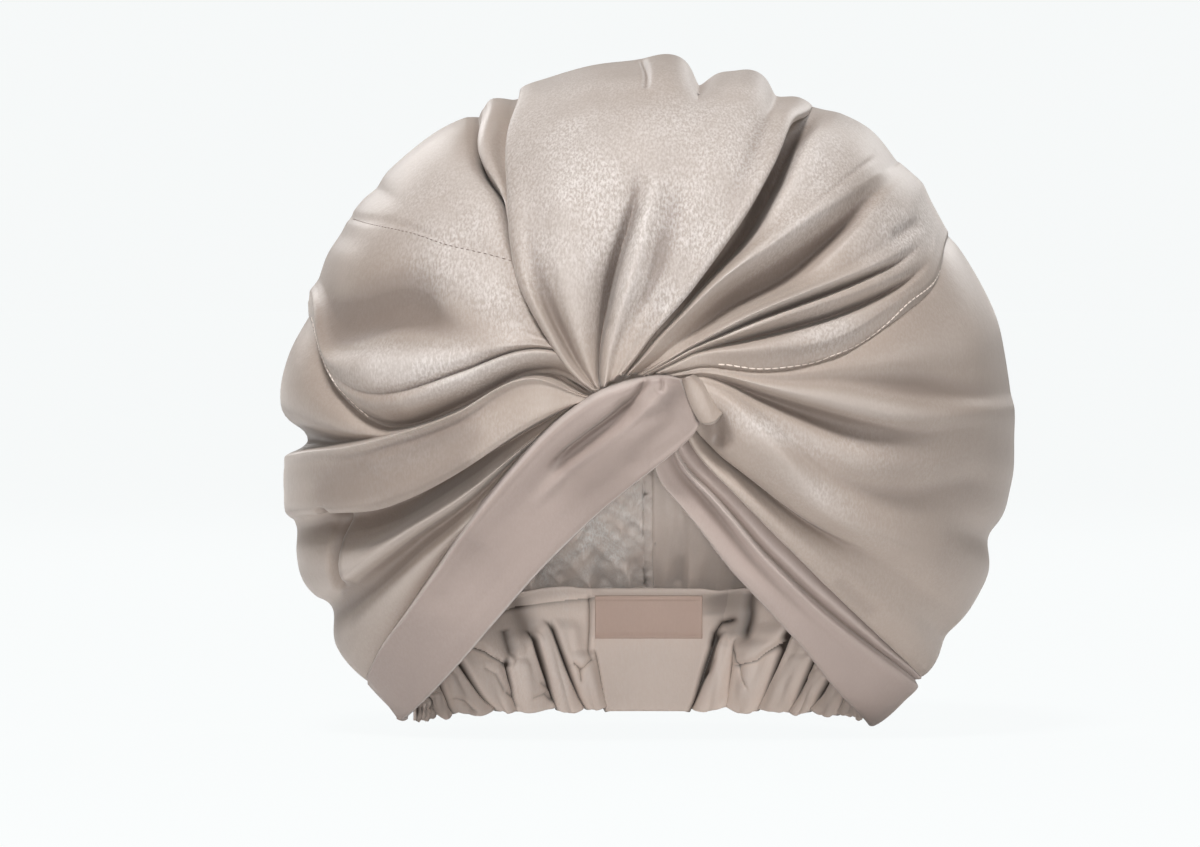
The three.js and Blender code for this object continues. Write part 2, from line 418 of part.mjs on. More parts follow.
// shares of the fall from the level of the knot to the hem
const DROPS = [0, 0.12, 0.25, 0.38, 0.5, 0.62, 0.73, 0.82, 0.89, 0.94, 0.975, 1];
const HIGH_ROWS = 9;       // rows above the level of the knot
const LAP = 0.7;           // clearance where the back pieces pass under the front ones
const EDGE_LAP = 2.2;      // degrees that they reach under them
const SEAM_FAN = 1.6;      // degrees between the centre seam and the first row
const PUFF_LAP = { angle: 57, width: 9, deep: 1.6 };    // extra depth under the deep fold on top
const CORNER_INSET = { left: 3.2, right: 2.8 };         // degrees from the lower corners
function backPiece(side) {
  const corner = side > 0 ? RIGHT_CORNER + CORNER_INSET.right : LEFT_CORNER - CORNER_INSET.left;
  const level = side > 0 ? 0 : 180, seamX = SEAM_X + side * GAP / 2, start = 90 - side * SEAM_FAN;
  const outer = [], inner = [];
  // the outer rim is tucked under the front pieces
  const lap = (q, turn, deep) => {
    const nearSide = smooth((q - 0.58) / 0.22), nearTop = smooth((SEAM_TURN + 13 - turn) / 8);
    return (WALL + LAP + deep) * Math.max(nearSide, nearTop);
  };
  const seamTop = KNOT_Z + outline(90, 0) * (BACK_SEAM + 0.012);
  // upper part: rows fan out above the level of the knot
  for (let i = 0; i < HIGH_ROWS; i++) {
    const u = i / HIGH_ROWS, angle = start + (level - start) * u, edge = backEnd(angle) - EDGE_LAP;
    const r = outline(angle, 0) * Math.pow(Math.sin(rad(edge)), 2 / BACK_POWER);
    const ax = side * Math.max(side * r * Math.cos(rad(angle)), side * seamX);
    const az = KNOT_Z + r * Math.sin(rad(angle));
    const sz = seamTop + (KNOT_Z - seamTop) * (1 - Math.cos(Math.PI * u / 2));
    const reach = rad(180 - edge), O = [], I = [];
    for (const q of ACROSS) {
      const w = i ? Math.pow(Math.sin(reach * q) / Math.sin(reach), 2 / BACK_POWER) : 0;
      const x = seamX + (ax - seamX) * w, z = sz + (az - sz) * w;
      let at = Math.atan2(z - KNOT_Z, x) * 180 / Math.PI;
      if (at < -90) at += 360;
      const turn = clamp(backTurn(Math.hypot(x, z - KNOT_Z) / outline(at, 0)), 91, 179);
      const p = dome(at, turn), n = domeNormal(at, Math.min(turn, 177));
      const deep = PUFF_LAP.deep * Math.exp(-Math.pow((at - PUFF_LAP.angle) / PUFF_LAP.width, 2));
      const under = lap(q, turn, deep);
      O.push(p.clone().addScaledVector(n, -under));
      I.push(p.clone().addScaledVector(n, -under - WALL));
    }
    outer.push(O);
    inner.push(I);
  }
  // lower part: rows sink from the level of the knot to the hem
  const point = (th, z, rolled) => {
    const s = clamp((z - hemAt(th)) / HEM_ROLL, 0, 1), g = 1 - rolled * (1 - Math.sqrt(1 - (1 - s) * (1 - s)));
    const [bx, by] = slice(side, th, z), [nx, ny] = napeAt(th, HEM_OUT * smooth((th + 4) / 20));
    return new THREE.Vector3(side * (nx + (bx - nx) * g), ny + (by - ny) * g, z);
  };
  const rimAt = (v) => {
    const angle = level + (corner - level) * v, edge = Math.max(90.6, backEnd(angle) - EDGE_LAP);
    const r = outline(angle, 0) * Math.pow(Math.sin(rad(edge)), 2 / BACK_POWER);
    return { angle, edge, ex: r * Math.cos(rad(angle)), ez: KNOT_Z + r * Math.sin(rad(angle)) };
  };
  const lowest = rimAt(1).ez, step = 1.5;
  for (const v of DROPS) {
    const { angle, edge, ex, ez } = rimAt(v);
    const th0 = sliceTurn(side, ex, ez), O = [], I = [];
    const rimFall = (KNOT_Z - ez) / (KNOT_Z - hemAt(th0)), seamFall = (KNOT_Z - ez) / (KNOT_Z - lowest);
    const zs = KNOT_Z - (KNOT_Z - CASING_TOP) * seamFall;
    const th1 = Math.acos(Math.pow(Math.abs(seamX) / slice(side, 0, zs)[0], BACK_POWER / 2)) * 180 / Math.PI;
    const far = side * seamX > 0 ? th1 : 180 - th1;
    const deep = 0.4 + 1.3 * smooth((v - 0.35) / 0.3) + 1.2 * smooth((v - 0.8) / 0.1);
    for (const q of ACROSS) {
      const th = Math.min(89.999, th0 + (far - th0) * (1 - q)), atRim = q > 0.9;
      const fall = rimFall + (seamFall - rimFall) * smooth((th - th0) / 22);
      const z = KNOT_Z - (KNOT_Z - hemAt(th)) * fall, rolled = smooth((th - th0) / 14);
      const p = point(th, z, rolled);
      if (q === 0) p.x = seamX;
      const a = point(Math.min(89.9, th + step), z, rolled).sub(point(Math.max(0.1, th - step), z, rolled));
      const b = point(th, z + step, rolled).sub(point(th, Math.max(z - step, hemAt(th) + 0.01), rolled));
      const n = a.cross(b).normalize().multiplyScalar(side);
      if (atRim) n.copy(domeNormal(angle, Math.max(edge, 93)));
      else if (v === 1) n.set(0, 0, -1);
      const under = v < 1 || atRim ? lap(q, 180, deep) : 0;
      O.push(p.clone().addScaledVector(n, -under));
      I.push(p.clone().addScaledVector(n, -under - WALL));
    }
    outer.push(O);
    inner.push(I);
  }
  return closedSheet(outer, inner);
}
add('back_left', backPiece(-1), SATIN, SATIN_SHINE);
add('back_right', backPiece(1), SATIN, SATIN_SHINE);

// ruched casing along the nape curve, from corner to corner; its top edge leans out to the bag's hem
function napePoint(side, th, off, z) {
  const [x0, y0] = napeAt(Math.max(0.2, th - 0.4), 0), [x1, y1] = napeAt(Math.min(90, th + 0.4), 0);
  const [x, y] = napeAt(th, 0), len = Math.hypot(x1 - x0, y1 - y0);
  return new THREE.Vector3(side * (x + (y1 - y0) / len * off), y - (x1 - x0) / len * off, z);
}
const CASING_LEVELS = [0, 0.16, 0.42, 0.7, 0.95, 1];    // shares of its height
const CASING_COLUMNS = 80;
const SWELL = 1.6;         // how far the filled casing stands out
const SET_IN = 0.6;        // its edges stand this far inside the nape line
const CALM = 0.1;          // share of the gathers left behind the label
function casing(columns) {
  const outer = [], inner = [];
  for (let i = 0; i <= columns; i++) {
    const u = -1 + 2 * i / columns, side = Math.sign(u) || 1;
    const th = 90 - (90 - CASING_START) * Math.abs(u), x = side * napeAt(th, 0)[0];
    const depth = RUCHE_DEPTH * (x > FLAT.from && x < FLAT.to ? CALM : 1);
    const ends = SET_IN + END_INSET * smooth((30 - th) / 20);
    const top = casingTop(th), O = [], I = [];
    for (const v of CASING_LEVELS) {
      const bulge = Math.sin(Math.PI * (v * 0.9 + 0.12)) * (0.3 + 0.7 * smooth(th / 30));
      const swell = v > 0.9 ? 0 : bulge;
      const phase = Math.PI * RUCHE_COUNT * u + 0.9 * Math.sin(5.3 * u) + 1.3 * v * Math.sin(2.1 * u + 0.4);
      const lean = (HEM_OUT - 1) * smooth((v - 0.8) / 0.2) * smooth((th - 40) / 30);
      const off = swell * (SWELL + depth * Math.sin(phase)) - ends + lean;
      O.push(napePoint(side, th, off, v * top));
      I.push(napePoint(side, th, off - WALL, v * top));
    }
    outer.push(O);
    inner.push(I);
  }
  return closedSheet(outer, inner);
}
add('nape_casing', casing(CASING_COLUMNS), CASING_CLOTH, BAND_SHINE);

// woven label on the inner face of the casing, following its curve
const LABEL_SET = 3;       // its outer face stands this far inside the nape line
function labelStrip(steps) {
  const outer = [], inner = [];
  for (let i = 0; i <= steps; i++) {
    const x = LABEL.x + LABEL.width * (i / steps - 0.5), side = Math.sign(x) || 1, O = [], I = [];
    const th = Math.acos(Math.pow(Math.abs(x) / CORNER_X, NAPE_POWER / 2)) * 180 / Math.PI;
    for (const z of [LABEL.z - LABEL.height / 2, LABEL.z + LABEL.height / 2]) {
      O.push(napePoint(side, th, -LABEL_SET, z));
      I.push(napePoint(side, th, -LABEL_SET - LABEL.thick, z));
    }
    outer.push(O);
    inner.push(I);
  }
  return closedSheet(outer, inner);
}
add('label', labelStrip(8), LABEL_CLOTH, LABEL_SHINE);

export default group;
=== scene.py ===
"""Satin sleep bonnet: pleated crown, crossed front bands, back bag and ruched nape casing."""

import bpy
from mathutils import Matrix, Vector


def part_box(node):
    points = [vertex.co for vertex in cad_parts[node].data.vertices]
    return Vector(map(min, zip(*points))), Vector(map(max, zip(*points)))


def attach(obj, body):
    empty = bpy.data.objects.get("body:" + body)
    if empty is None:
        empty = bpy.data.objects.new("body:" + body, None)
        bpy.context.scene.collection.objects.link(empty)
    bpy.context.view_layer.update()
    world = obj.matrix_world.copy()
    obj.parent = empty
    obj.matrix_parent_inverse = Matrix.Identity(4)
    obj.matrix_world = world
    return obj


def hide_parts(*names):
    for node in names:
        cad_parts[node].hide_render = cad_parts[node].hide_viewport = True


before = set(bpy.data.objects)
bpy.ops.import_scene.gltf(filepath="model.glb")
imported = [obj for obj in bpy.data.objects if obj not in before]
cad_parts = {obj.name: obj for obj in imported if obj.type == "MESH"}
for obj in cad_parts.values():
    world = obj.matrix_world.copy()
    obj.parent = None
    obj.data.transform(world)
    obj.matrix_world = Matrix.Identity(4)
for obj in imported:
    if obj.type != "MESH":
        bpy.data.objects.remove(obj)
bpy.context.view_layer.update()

import math
from collections import namedtuple
import bmesh
import bpy
import numpy as np
from mathutils import Matrix, Vector
from mathutils.bvhtree import BVHTree

MM = 0.001

# ---- camera and studio, metres ---------------------------------------------------
AIM = Vector((-0.0176, 0.0, 0.112))    # what the camera looks at
DISTANCE = 3.2                         # how far from it the camera stands
LIFT = math.radians(0.9)               # how far down the camera looks
LENS = 256                             # millimetres
SENSOR = 36
FAR_CLIP = 200
BACKDROP = (0.925, 0.945, 0.945, 1)
FILL = (0.96, 0.97, 1.0, 1)
FILL_STRENGTH = 0.07
PAPER = (0.9, 0.9, 0.9, 1)
PAPER_GLOW = (0.953, 0.974, 0.974, 1)
GLOW_SHARE = 0.97                      # how much of the floor seen by the camera is plain backdrop
FLOOR_REACH = 60
FLOOR_CELLS = 4
FLOOR_Z = -0.004
LIGHT_AIM = (0, 0, 0.12)
# soft round lights: name, place, width, watts
SOFT_LIGHTS = [
    ("key", (-0.36, -1.35, 2.0), 0.5, 54),
    ("front", (-0.04, -3.0, 0.16), 0.4, 17),
    ("right", (1.9, -0.8, 1.1), 0.9, 5),
    ("back_left", (-1.2, 2.3, 1.5), 1.2, 24),
    ("back_right", (1.3, 2.3, 1.5), 1.2, 24),
]
# the narrow light that reaches in through the face opening to the casing
INNER_PLACE = (-0.01, -3.0, 0.13)
INNER_AIM = (0, 0.08, 0.036)
INNER_WATTS = 112
INNER_CONE = math.radians(4.0)
INNER_BLEND = 0.5
INNER_RADIUS = 0.04

scene = bpy.context.scene
camera_data = bpy.data.cameras.new("camera")
camera_data.lens = LENS
camera_data.sensor_width = SENSOR
camera_data.clip_end = FAR_CLIP
camera = bpy.data.objects.new("camera", camera_data)
camera.location = AIM + Vector((0, -DISTANCE * math.cos(LIFT), DISTANCE * math.sin(LIFT)))
camera.rotation_euler = (math.pi / 2 - LIFT, 0, 0)
scene.collection.objects.link(camera)
scene.camera = camera
scene.view_settings.view_transform = "Standard"


def studio_world():
    """A pale backdrop for the camera, and a faint cool fill for everything else."""
    world = bpy.data.worlds.new("studio")
    world.use_nodes = True
    nodes = world.node_tree.nodes
    links = world.node_tree.links
    nodes.clear()
    out = nodes.new("ShaderNodeOutputWorld")
    pick = nodes.new("ShaderNodeMixShader")
    path = nodes.new("ShaderNodeLightPath")
    fill = nodes.new("ShaderNodeBackground")
    seen = nodes.new("ShaderNodeBackground")
    fill.inputs["Color"].default_value = FILL
    fill.inputs["Strength"].default_value = FILL_STRENGTH
    seen.inputs["Color"].default_value = BACKDROP
    links.new(path.outputs["Is Camera Ray"], pick.inputs[0])
    links.new(fill.outputs[0], pick.inputs[1])
    links.new(seen.outputs[0], pick.inputs[2])
    links.new(pick.outputs[0], out.inputs[0])
    return world


def add_lamp(data, place, aim):
    lamp = bpy.data.objects.new(data.name, data)
    lamp.location = place
    lamp.rotation_euler = (Vector(aim) - Vector(place)).to_track_quat("-Z", "Y").to_euler()
    scene.collection.objects.link(lamp)


def node_material(name):
    mat = bpy.data.materials.new(name)
    mat.use_nodes = True
    nodes = mat.node_tree.nodes
    nodes.clear()
    out = nodes.new("ShaderNodeOutputMaterial")
    return mat, nodes, mat.node_tree.links, out


def floor_material():
    """White paper that fades into the backdrop for the camera."""
    mat, nodes, links, out = node_material("floor_paper")
    path = nodes.new("ShaderNodeLightPath")
    paper = nodes.new("ShaderNodeBsdfDiffuse")
    glow = nodes.new("ShaderNodeEmission")
    part = nodes.new("ShaderNodeMixShader")
    pick = nodes.new("ShaderNodeMixShader")
    paper.inputs["Color"].default_value = PAPER
    glow.inputs["Color"].default_value = PAPER_GLOW
    part.inputs[0].default_value = GLOW_SHARE
    links.new(paper.outputs[0], part.inputs[1])
    links.new(glow.outputs[0], part.inputs[2])
    links.new(path.outputs["Is Camera Ray"], pick.inputs[0])
    links.new(paper.outputs[0], pick.inputs[1])
    links.new(part.outputs[0], pick.inputs[2])
    links.new(pick.outputs[0], out.inputs[0])
    return mat


scene.world = studio_world()
for lamp_name, lamp_place, lamp_width, watts in SOFT_LIGHTS:
    soft = bpy.data.lights.new(lamp_name, "AREA")
    soft.shape = "DISK"
    soft.size = lamp_width
    soft.energy = watts
    add_lamp(soft, lamp_place, LIGHT_AIM)
inner = bpy.data.lights.new("inner", "SPOT")
inner.energy = INNER_WATTS
inner.spot_size = INNER_CONE
inner.spot_blend = INNER_BLEND
inner.shadow_soft_size = INNER_RADIUS
add_lamp(inner, INNER_PLACE, INNER_AIM)

bm = bmesh.new()
bmesh.ops.create_grid(bm, x_segments=FLOOR_CELLS, y_segments=FLOOR_CELLS, size=FLOOR_REACH)
bmesh.ops.translate(bm, verts=bm.verts, vec=(0, 0, FLOOR_Z))
floor_mesh = bpy.data.meshes.new("floor")
bm.to_mesh(floor_mesh)
bm.free()
floor = bpy.data.objects.new("floor", floor_mesh)
floor.data.materials.append(floor_material())
scene.collection.objects.link(floor)

# ---- driving dimensions, millimetres ---------------------------------------------
KNOT_Z = 129          # height of the knot, the pole that the folds fan out from
KNOT_Y = -117         # how far forward the knot stands
BACK_Y = 128          # how far back the bag reaches
TOP_Y = 5             # depth of the widest line at the top
CORNER_X = 88         # half width between the two lower corners
CORNER_Y = -20        # depth of the lower corners
NAPE_Y = 83           # depth of the nape hem at the centre back
NAPE_POWER = 2.2      # squareness of the nape curve
CASING_TOP = 46       # height of the ruched casing at the nape
CORNER_TOP = 3        # height of the bag hem at the lower corners
FRONT_POWER = 2.2     # roundness of the front dome
CORNER_POWER = 1.4    # roundness towards the lower corners
LOW_BACK_Y = 94       # how far back the bag would reach at hem height
BACK_POWER = 2.3      # roundness of the back
HEM_ROLL = 30         # height over which the bag rolls in to its hem
HEM_OUT = 3.7         # the bag hem stands this far outside the casing
BACK_SEAM = 0.86      # where the front pieces meet the back ones, as a share of the outline
SEAM_X = 3.5          # the centre back seam stands a little to one side
LEFT_CORNER = 235.5   # degrees, anticlockwise from the right
RIGHT_CORNER = -58.5
CLOTH = 0.9           # doubled satin
GATHER_SHARE = 0.28   # inside this share of the radius the folds run to the gathering line

# the outline from the front: angle, distance from the knot
OUTLINE = [
    (-60, 153.5), (-45, 150), (-30, 146), (-15, 140), (0, 134), (20, 126.5), (45, 122), (70, 118),
    (90, 117.5), (110, 117.5), (135, 119.5), (160, 128), (180, 132.5), (200, 141), (215, 149), (240, 157),
]
# notches and lobes that the folds leave in the outline: angle, amount, width
LOBES = [
    (-41, -3.5, 3), (-25, -4, 3), (65.5, -3.5, 2.5), (71, 2, 3), (80, -7.5, 2.5), (86, 2, 4), (121, -1, 2),
    (145, -1.3, 2), (155, -1.3, 3), (190, -4, 3), (215, -4.5, 3.5),
]
OUTLINE_ANGLES, OUTLINE_REACH = zip(*OUTLINE)


def smooth(v):
    x = np.clip(v, 0, 1)
    return x * x * (3 - 2 * x)


def eased(value, start, end):
    """0 up to the start and 1 from the end on, with a soft change between them."""
    return smooth((value - start) / (end - start))


def between(share, start, finish):
    """1 in the middle of a run from 0 to 1, fading out over its first and last parts."""
    return smooth(share / start) * smooth((1 - share) / finish)


def bell(distance, width, steep=2):
    return np.exp(-(distance / width) ** steep)


def power(v, e):
    return np.maximum(v, 0) ** e


def cosd(angle):
    return np.cos(np.radians(angle))


def sind(angle):
    return np.sin(np.radians(angle))


def angle_of(x, z, least=-90):
    """Angle of a place from the knot in degrees, counted on from the least angle."""
    angle = np.degrees(np.arctan2(z, x))
    return np.where(angle < least, angle + 360, angle)


def unit(n):
    return n / np.maximum(np.linalg.norm(n, axis=-1, keepdims=True), 1e-9)


def spline(xs, ys, x):
    """A smooth curve through the points (xs, ys), flat beyond its ends."""
    xs, ys = np.asarray(xs, float), np.asarray(ys, float)
    n = len(xs)
    slope = np.zeros(n)
    slope[1:-1] = (ys[2:] - ys[:-2]) / (xs[2:] - xs[:-2])
    slope[0] = (ys[1] - ys[0]) / (xs[1] - xs[0])
    slope[-1] = (ys[-1] - ys[-2]) / (xs[-1] - xs[-2])
    x = np.clip(x, xs[0], xs[-1])
    i = np.clip(np.searchsorted(xs, x, side="right") - 1, 0, n - 2)
    w = xs[i + 1] - xs[i]
    return hermite((x - xs[i]) / w, ys[i], ys[i + 1], w * slope[i], w * slope[i + 1])


def hermite(f, start, finish, leaving, arriving):
    """The curve between two values, f from 0 to 1, with its slopes at the two ends."""
    f2, f3 = f * f, f * f * f
    return ((2 * f3 - 3 * f2 + 1) * start + (f3 - 2 * f2 + f) * leaving
            + (3 * f2 - 2 * f3) * finish + (f3 - f2) * arriving)


# ---- the smooth bonnet under the folds --------------------------------------------
# An angle goes round the knot. A turn goes back from the knot, 0, over the widest line, 90, to the
# middle of the back, 180. A share t is the distance from the knot over the outline's.
def outline(angle, fade):
    r = spline(OUTLINE_ANGLES, OUTLINE_REACH, angle)
    for at, amount, width in LOBES:
        r = r + fade * amount * bell(angle - at, width)
    return r


def front_fade(t):
    return eased(t, 0.8, 0.99)


def back_fade(t):
    return eased(t, 0.87, 0.99)


def drop(angle):
    """0 over the crown, rising to 1 towards the two lower corners."""
    return np.where(angle > 90, eased(angle, 180, 234), eased(angle, 0, -56))


def limb_y(angle):
    """Depth of the widest line."""
    return TOP_Y * np.maximum(0, sind(angle)) + CORNER_Y * drop(angle)


def front_power(angle):
    return FRONT_POWER + (CORNER_POWER - FRONT_POWER) * drop(angle)


def nape_at(th, out=0.0):
    """The nape hem: th is 0 at a corner and 90 at the centre back."""
    x = (CORNER_X + out) * power(cosd(th), 2 / NAPE_POWER)
    y = CORNER_Y + (NAPE_Y + out - CORNER_Y) * power(sind(th), 2 / NAPE_POWER)
    return x, y


def hem_at(th):
    return CORNER_TOP + (CASING_TOP - CORNER_TOP) * eased(th, 0, 90)


def limb_at(side, z):
    """Half width and depth of the widest line at height z, on the side +1 or -1."""
    side, z = np.broadcast_arrays(np.asarray(side, float), np.asarray(z, float))
    lo = np.where(side > 0, RIGHT_CORNER, 180.0)
    hi = np.where(side > 0, 0.0, LEFT_CORNER)
    for _ in range(22):
        mid = (lo + hi) / 2
        above = KNOT_Z + outline(mid, 0) * sind(mid) > z
        take = above == (side > 0)
        hi = np.where(take, mid, hi)
        lo = np.where(take, lo, mid)
    return outline(lo, 0) * np.abs(cosd(lo)), limb_y(lo)


def back_profile(z):
    fall = np.clip((KNOT_Z - z) / KNOT_Z, 0, 1) ** BACK_POWER
    return LOW_BACK_Y + (BACK_Y - LOW_BACK_Y) * power(1 - fall, 1 / BACK_POWER)


def level_slice(side, th, z):
    """Half width and depth of the bag cut level at height z."""
    lx, ly = limb_at(side, z)
    e = 2 / BACK_POWER
    return lx * power(cosd(th), e), ly + (back_profile(z) - ly) * power(sind(th), e)


def slice_turn(side, x, z):
    lx, _ = limb_at(side, z)
    return np.degrees(np.arccos(np.clip((np.abs(x) / lx) ** (BACK_POWER / 2), 0, 1)))


def dome(angle, turn):
    """A place on the smooth bonnet."""
    angle, turn = np.broadcast_arrays(np.asarray(angle, float), np.asarray(turn, float))
    c, s = cosd(angle), sind(angle)
    sn, cs = sind(turn), cosd(turn)
    y0 = limb_y(angle)
    e = 2 / front_power(angle)
    t = power(sn, e)
    r = outline(angle, front_fade(t)) * t
    y = y0 - (y0 - KNOT_Y) * power(cs, e)
    behind = turn > 90
    if behind.any():
        eb = 2 / BACK_POWER
        tb = power(sn, eb)
        rb = outline(angle, back_fade(tb)) * tb
        yb = y0 + (BACK_Y - y0) * power(-cs, eb)
        low = behind & (s < 0)
        if low.any():
            r0 = outline(angle[low], 0) * tb[low]
            side = np.sign(c[low])
            z0 = KNOT_Z + r0 * s[low]
            yb[low] = level_slice(side, slice_turn(side, r0 * c[low], z0), z0)[1]
        r = np.where(behind, rb, r)
        y = np.where(behind, yb, y)
    return np.stack([r * c, y, KNOT_Z + r * s], axis=-1)


def dome_normal(angle, turn):
    """The outward direction, from the places a little to either side."""
    turn = np.clip(turn, 4, 176)
    across = dome(angle + 0.8, turn) - dome(angle - 0.8, turn)
    along = dome(angle, turn + 1.5) - dome(angle, turn - 1.5)
    return unit(np.cross(along, across))


def turn_for(t, roundness):
    """The turn, up to 90, at which a surface of that roundness reaches the share t."""
    return np.degrees(np.arcsin(np.clip(np.clip(t, 0, 1) ** (roundness / 2), 0, 1)))


def front_turn(angle, t):
    return turn_for(t, front_power(angle))


def back_turn(t):
    return 180 - turn_for(t, BACK_POWER)


SEAM_TURN = float(back_turn(BACK_SEAM))


def back_end(angle):
    """The turn at which the front pieces end: on the back seam, but at the corners on the widest line."""
    near = np.where(angle > 90, eased(angle, 219, 232), eased(angle, -37, -48))
    return SEAM_TURN - (SEAM_TURN - 92) * near


def dome_at(x, z):
    """The smooth bonnet and its outward direction at a front-view place."""
    angle = angle_of(x, z - KNOT_Z)
    d = np.hypot(x, z - KNOT_Z)
    t = d / outline(angle, 1)
    for _ in range(6):
        t = np.minimum(1, d / outline(angle, front_fade(t)))
    turn = front_turn(angle, t)
    return dome(angle, turn), dome_normal(angle, turn)


EVEN_OUT = 6          # the direction is averaged over places this far round, as it swings near the knot


def on_dome(x, z, lift):
    """Lifts a front-view place off the bonnet, along its evened out direction."""
    p, n = dome_at(x, z)
    for dx, dz in ((EVEN_OUT, 0), (-EVEN_OUT, 0), (0, EVEN_OUT), (0, -EVEN_OUT)):
        n = n + dome_at(x + dx, z + dz)[1]
    return p + unit(n) * np.reshape(lift, (-1, 1))


# ---- folds --------------------------------------------------------------------------
# One row per fold line, from one edge of a piece to the other.
# angles: of the line at each station from the knot to the widest line, and at the seam behind it
# heights: of the cloth over the smooth bonnet at the same stations
# crisp: 0 is a soft roll, 1 a sharp crease
# root_x, root_z: where the line ends at the gathering, from the knot, across and up
STATIONS = (0.15, 0.3, 0.5, 0.7, 0.87, 1.0, 1.36)
MID_STATION = 3       # where the widths between folds are measured
RIM_STATION = 5       # on the widest line
Fold = namedtuple("Fold", "name angles heights crisp root_x root_z")
CROWN_CENTER = [Fold(*row) for row in (
    ("tuck", (80, 69, 64, 63.5, 64, 61, 60), (-3, -1.5, -0.5, 0.3, 0, -1.8, -1.6), 0, -9, 2),
    ("roll_under", (75.5, 64.6, 60, 59.8, 60.6, 58.4, 58),
     (-1, 2, 3.4, 4.2, 2.4, -1.8, -1.6), 0.2, -9, 2.5),
    ("lip", (76, 65, 60, 59.6, 60.6, 58.8, 58.4), (0.5, 4.2, 6, 6.8, 4.2, -0.2, -0.4), 0, -9.4, 3),
    ("lip_back", (78, 67.5, 62, 61.5, 62.2, 60.8, 60), (0.7, 4.6, 6.4, 7, 4.8, 0.6, 0), 0, -10, 3),
    ("behind_lip", (82, 71, 65.5, 65, 65.5, 63.6, 62.6), (0.3, 3.4, 4.8, 4.6, 3, 0.8, 0.4), 0, -10.8, 2.2),
    ("body_right", (92, 80, 74, 71, 70, 69, 68), (0.5, 3, 4.6, 4.8, 3.6, 1.8, 0.3), 0, -12.5, 1),
    ("soft_valley", (108, 89.6, 84.6, 79, 76.4, 75.4, 75), (0, 1.4, 3.6, 4.2, 3, 1, 0), 0, -14, 0),
    ("shoulder", (124, 102, 91, 87, 85, 84, 84), (1, 4, 4.4, 4.4, 3.4, 1.6, 0), 0, -16, -1.6),
    ("dart", (145, 116, 96.5, 93, 92, 91, 91), (-4, -6.6, 0.2, 4.2, 3.4, 1.4, 0), 0.6, -17.4, -2.8),
    ("dart_foot", (150, 121, 100.5, 97, 95, 94, 94), (-1, -1.2, 2.8, 4, 3, 1.4, 0), 0, -17.7, -3),
    ("left_body", (156, 130, 109, 103, 100, 99, 98), (0, 2.6, 3.8, 3.8, 2.4, 1.4, 0), 0, -18, -3),
    ("left_full", (162, 140, 122, 112, 108, 105, 104), (0, 3, 4.4, 3.6, 2.2, 1.2, 0), 0, -18.2, -3),
    ("left_valley", (172, 150, 133, 120.5, 114, 109, 107), (-1.5, -0.5, 2.4, 3, 1.8, 1, 0), 0, -18.3, -3),
    ("roll", (182, 155, 138.4, 125.5, 118, 112, 109.5), (0.5, 3, 3, 2.4, 1.5, 1, 0), 0, -18.4, -3),
    ("edge", (186, 158, 141, 127.5, 120, 113.5, 111), (0.3, 2.2, 2, 1.4, 1, 0.6, 0), 0, -18.5, -3),
    ("edge_under", (186.6, 158.8, 141.8, 128.2, 120.6, 114, 111.6),
     (-0.7, 0.4, 0.2, -0.2, -0.5, -0.6, -0.8), 0.3, -18.6, -3),
    ("tuck_left", (183, 156, 138, 125, 117.5, 111, 109),
     (-2.2, -1.6, -1.6, -2, -2, -2, -2.2), 0, -18.4, -3),
)]
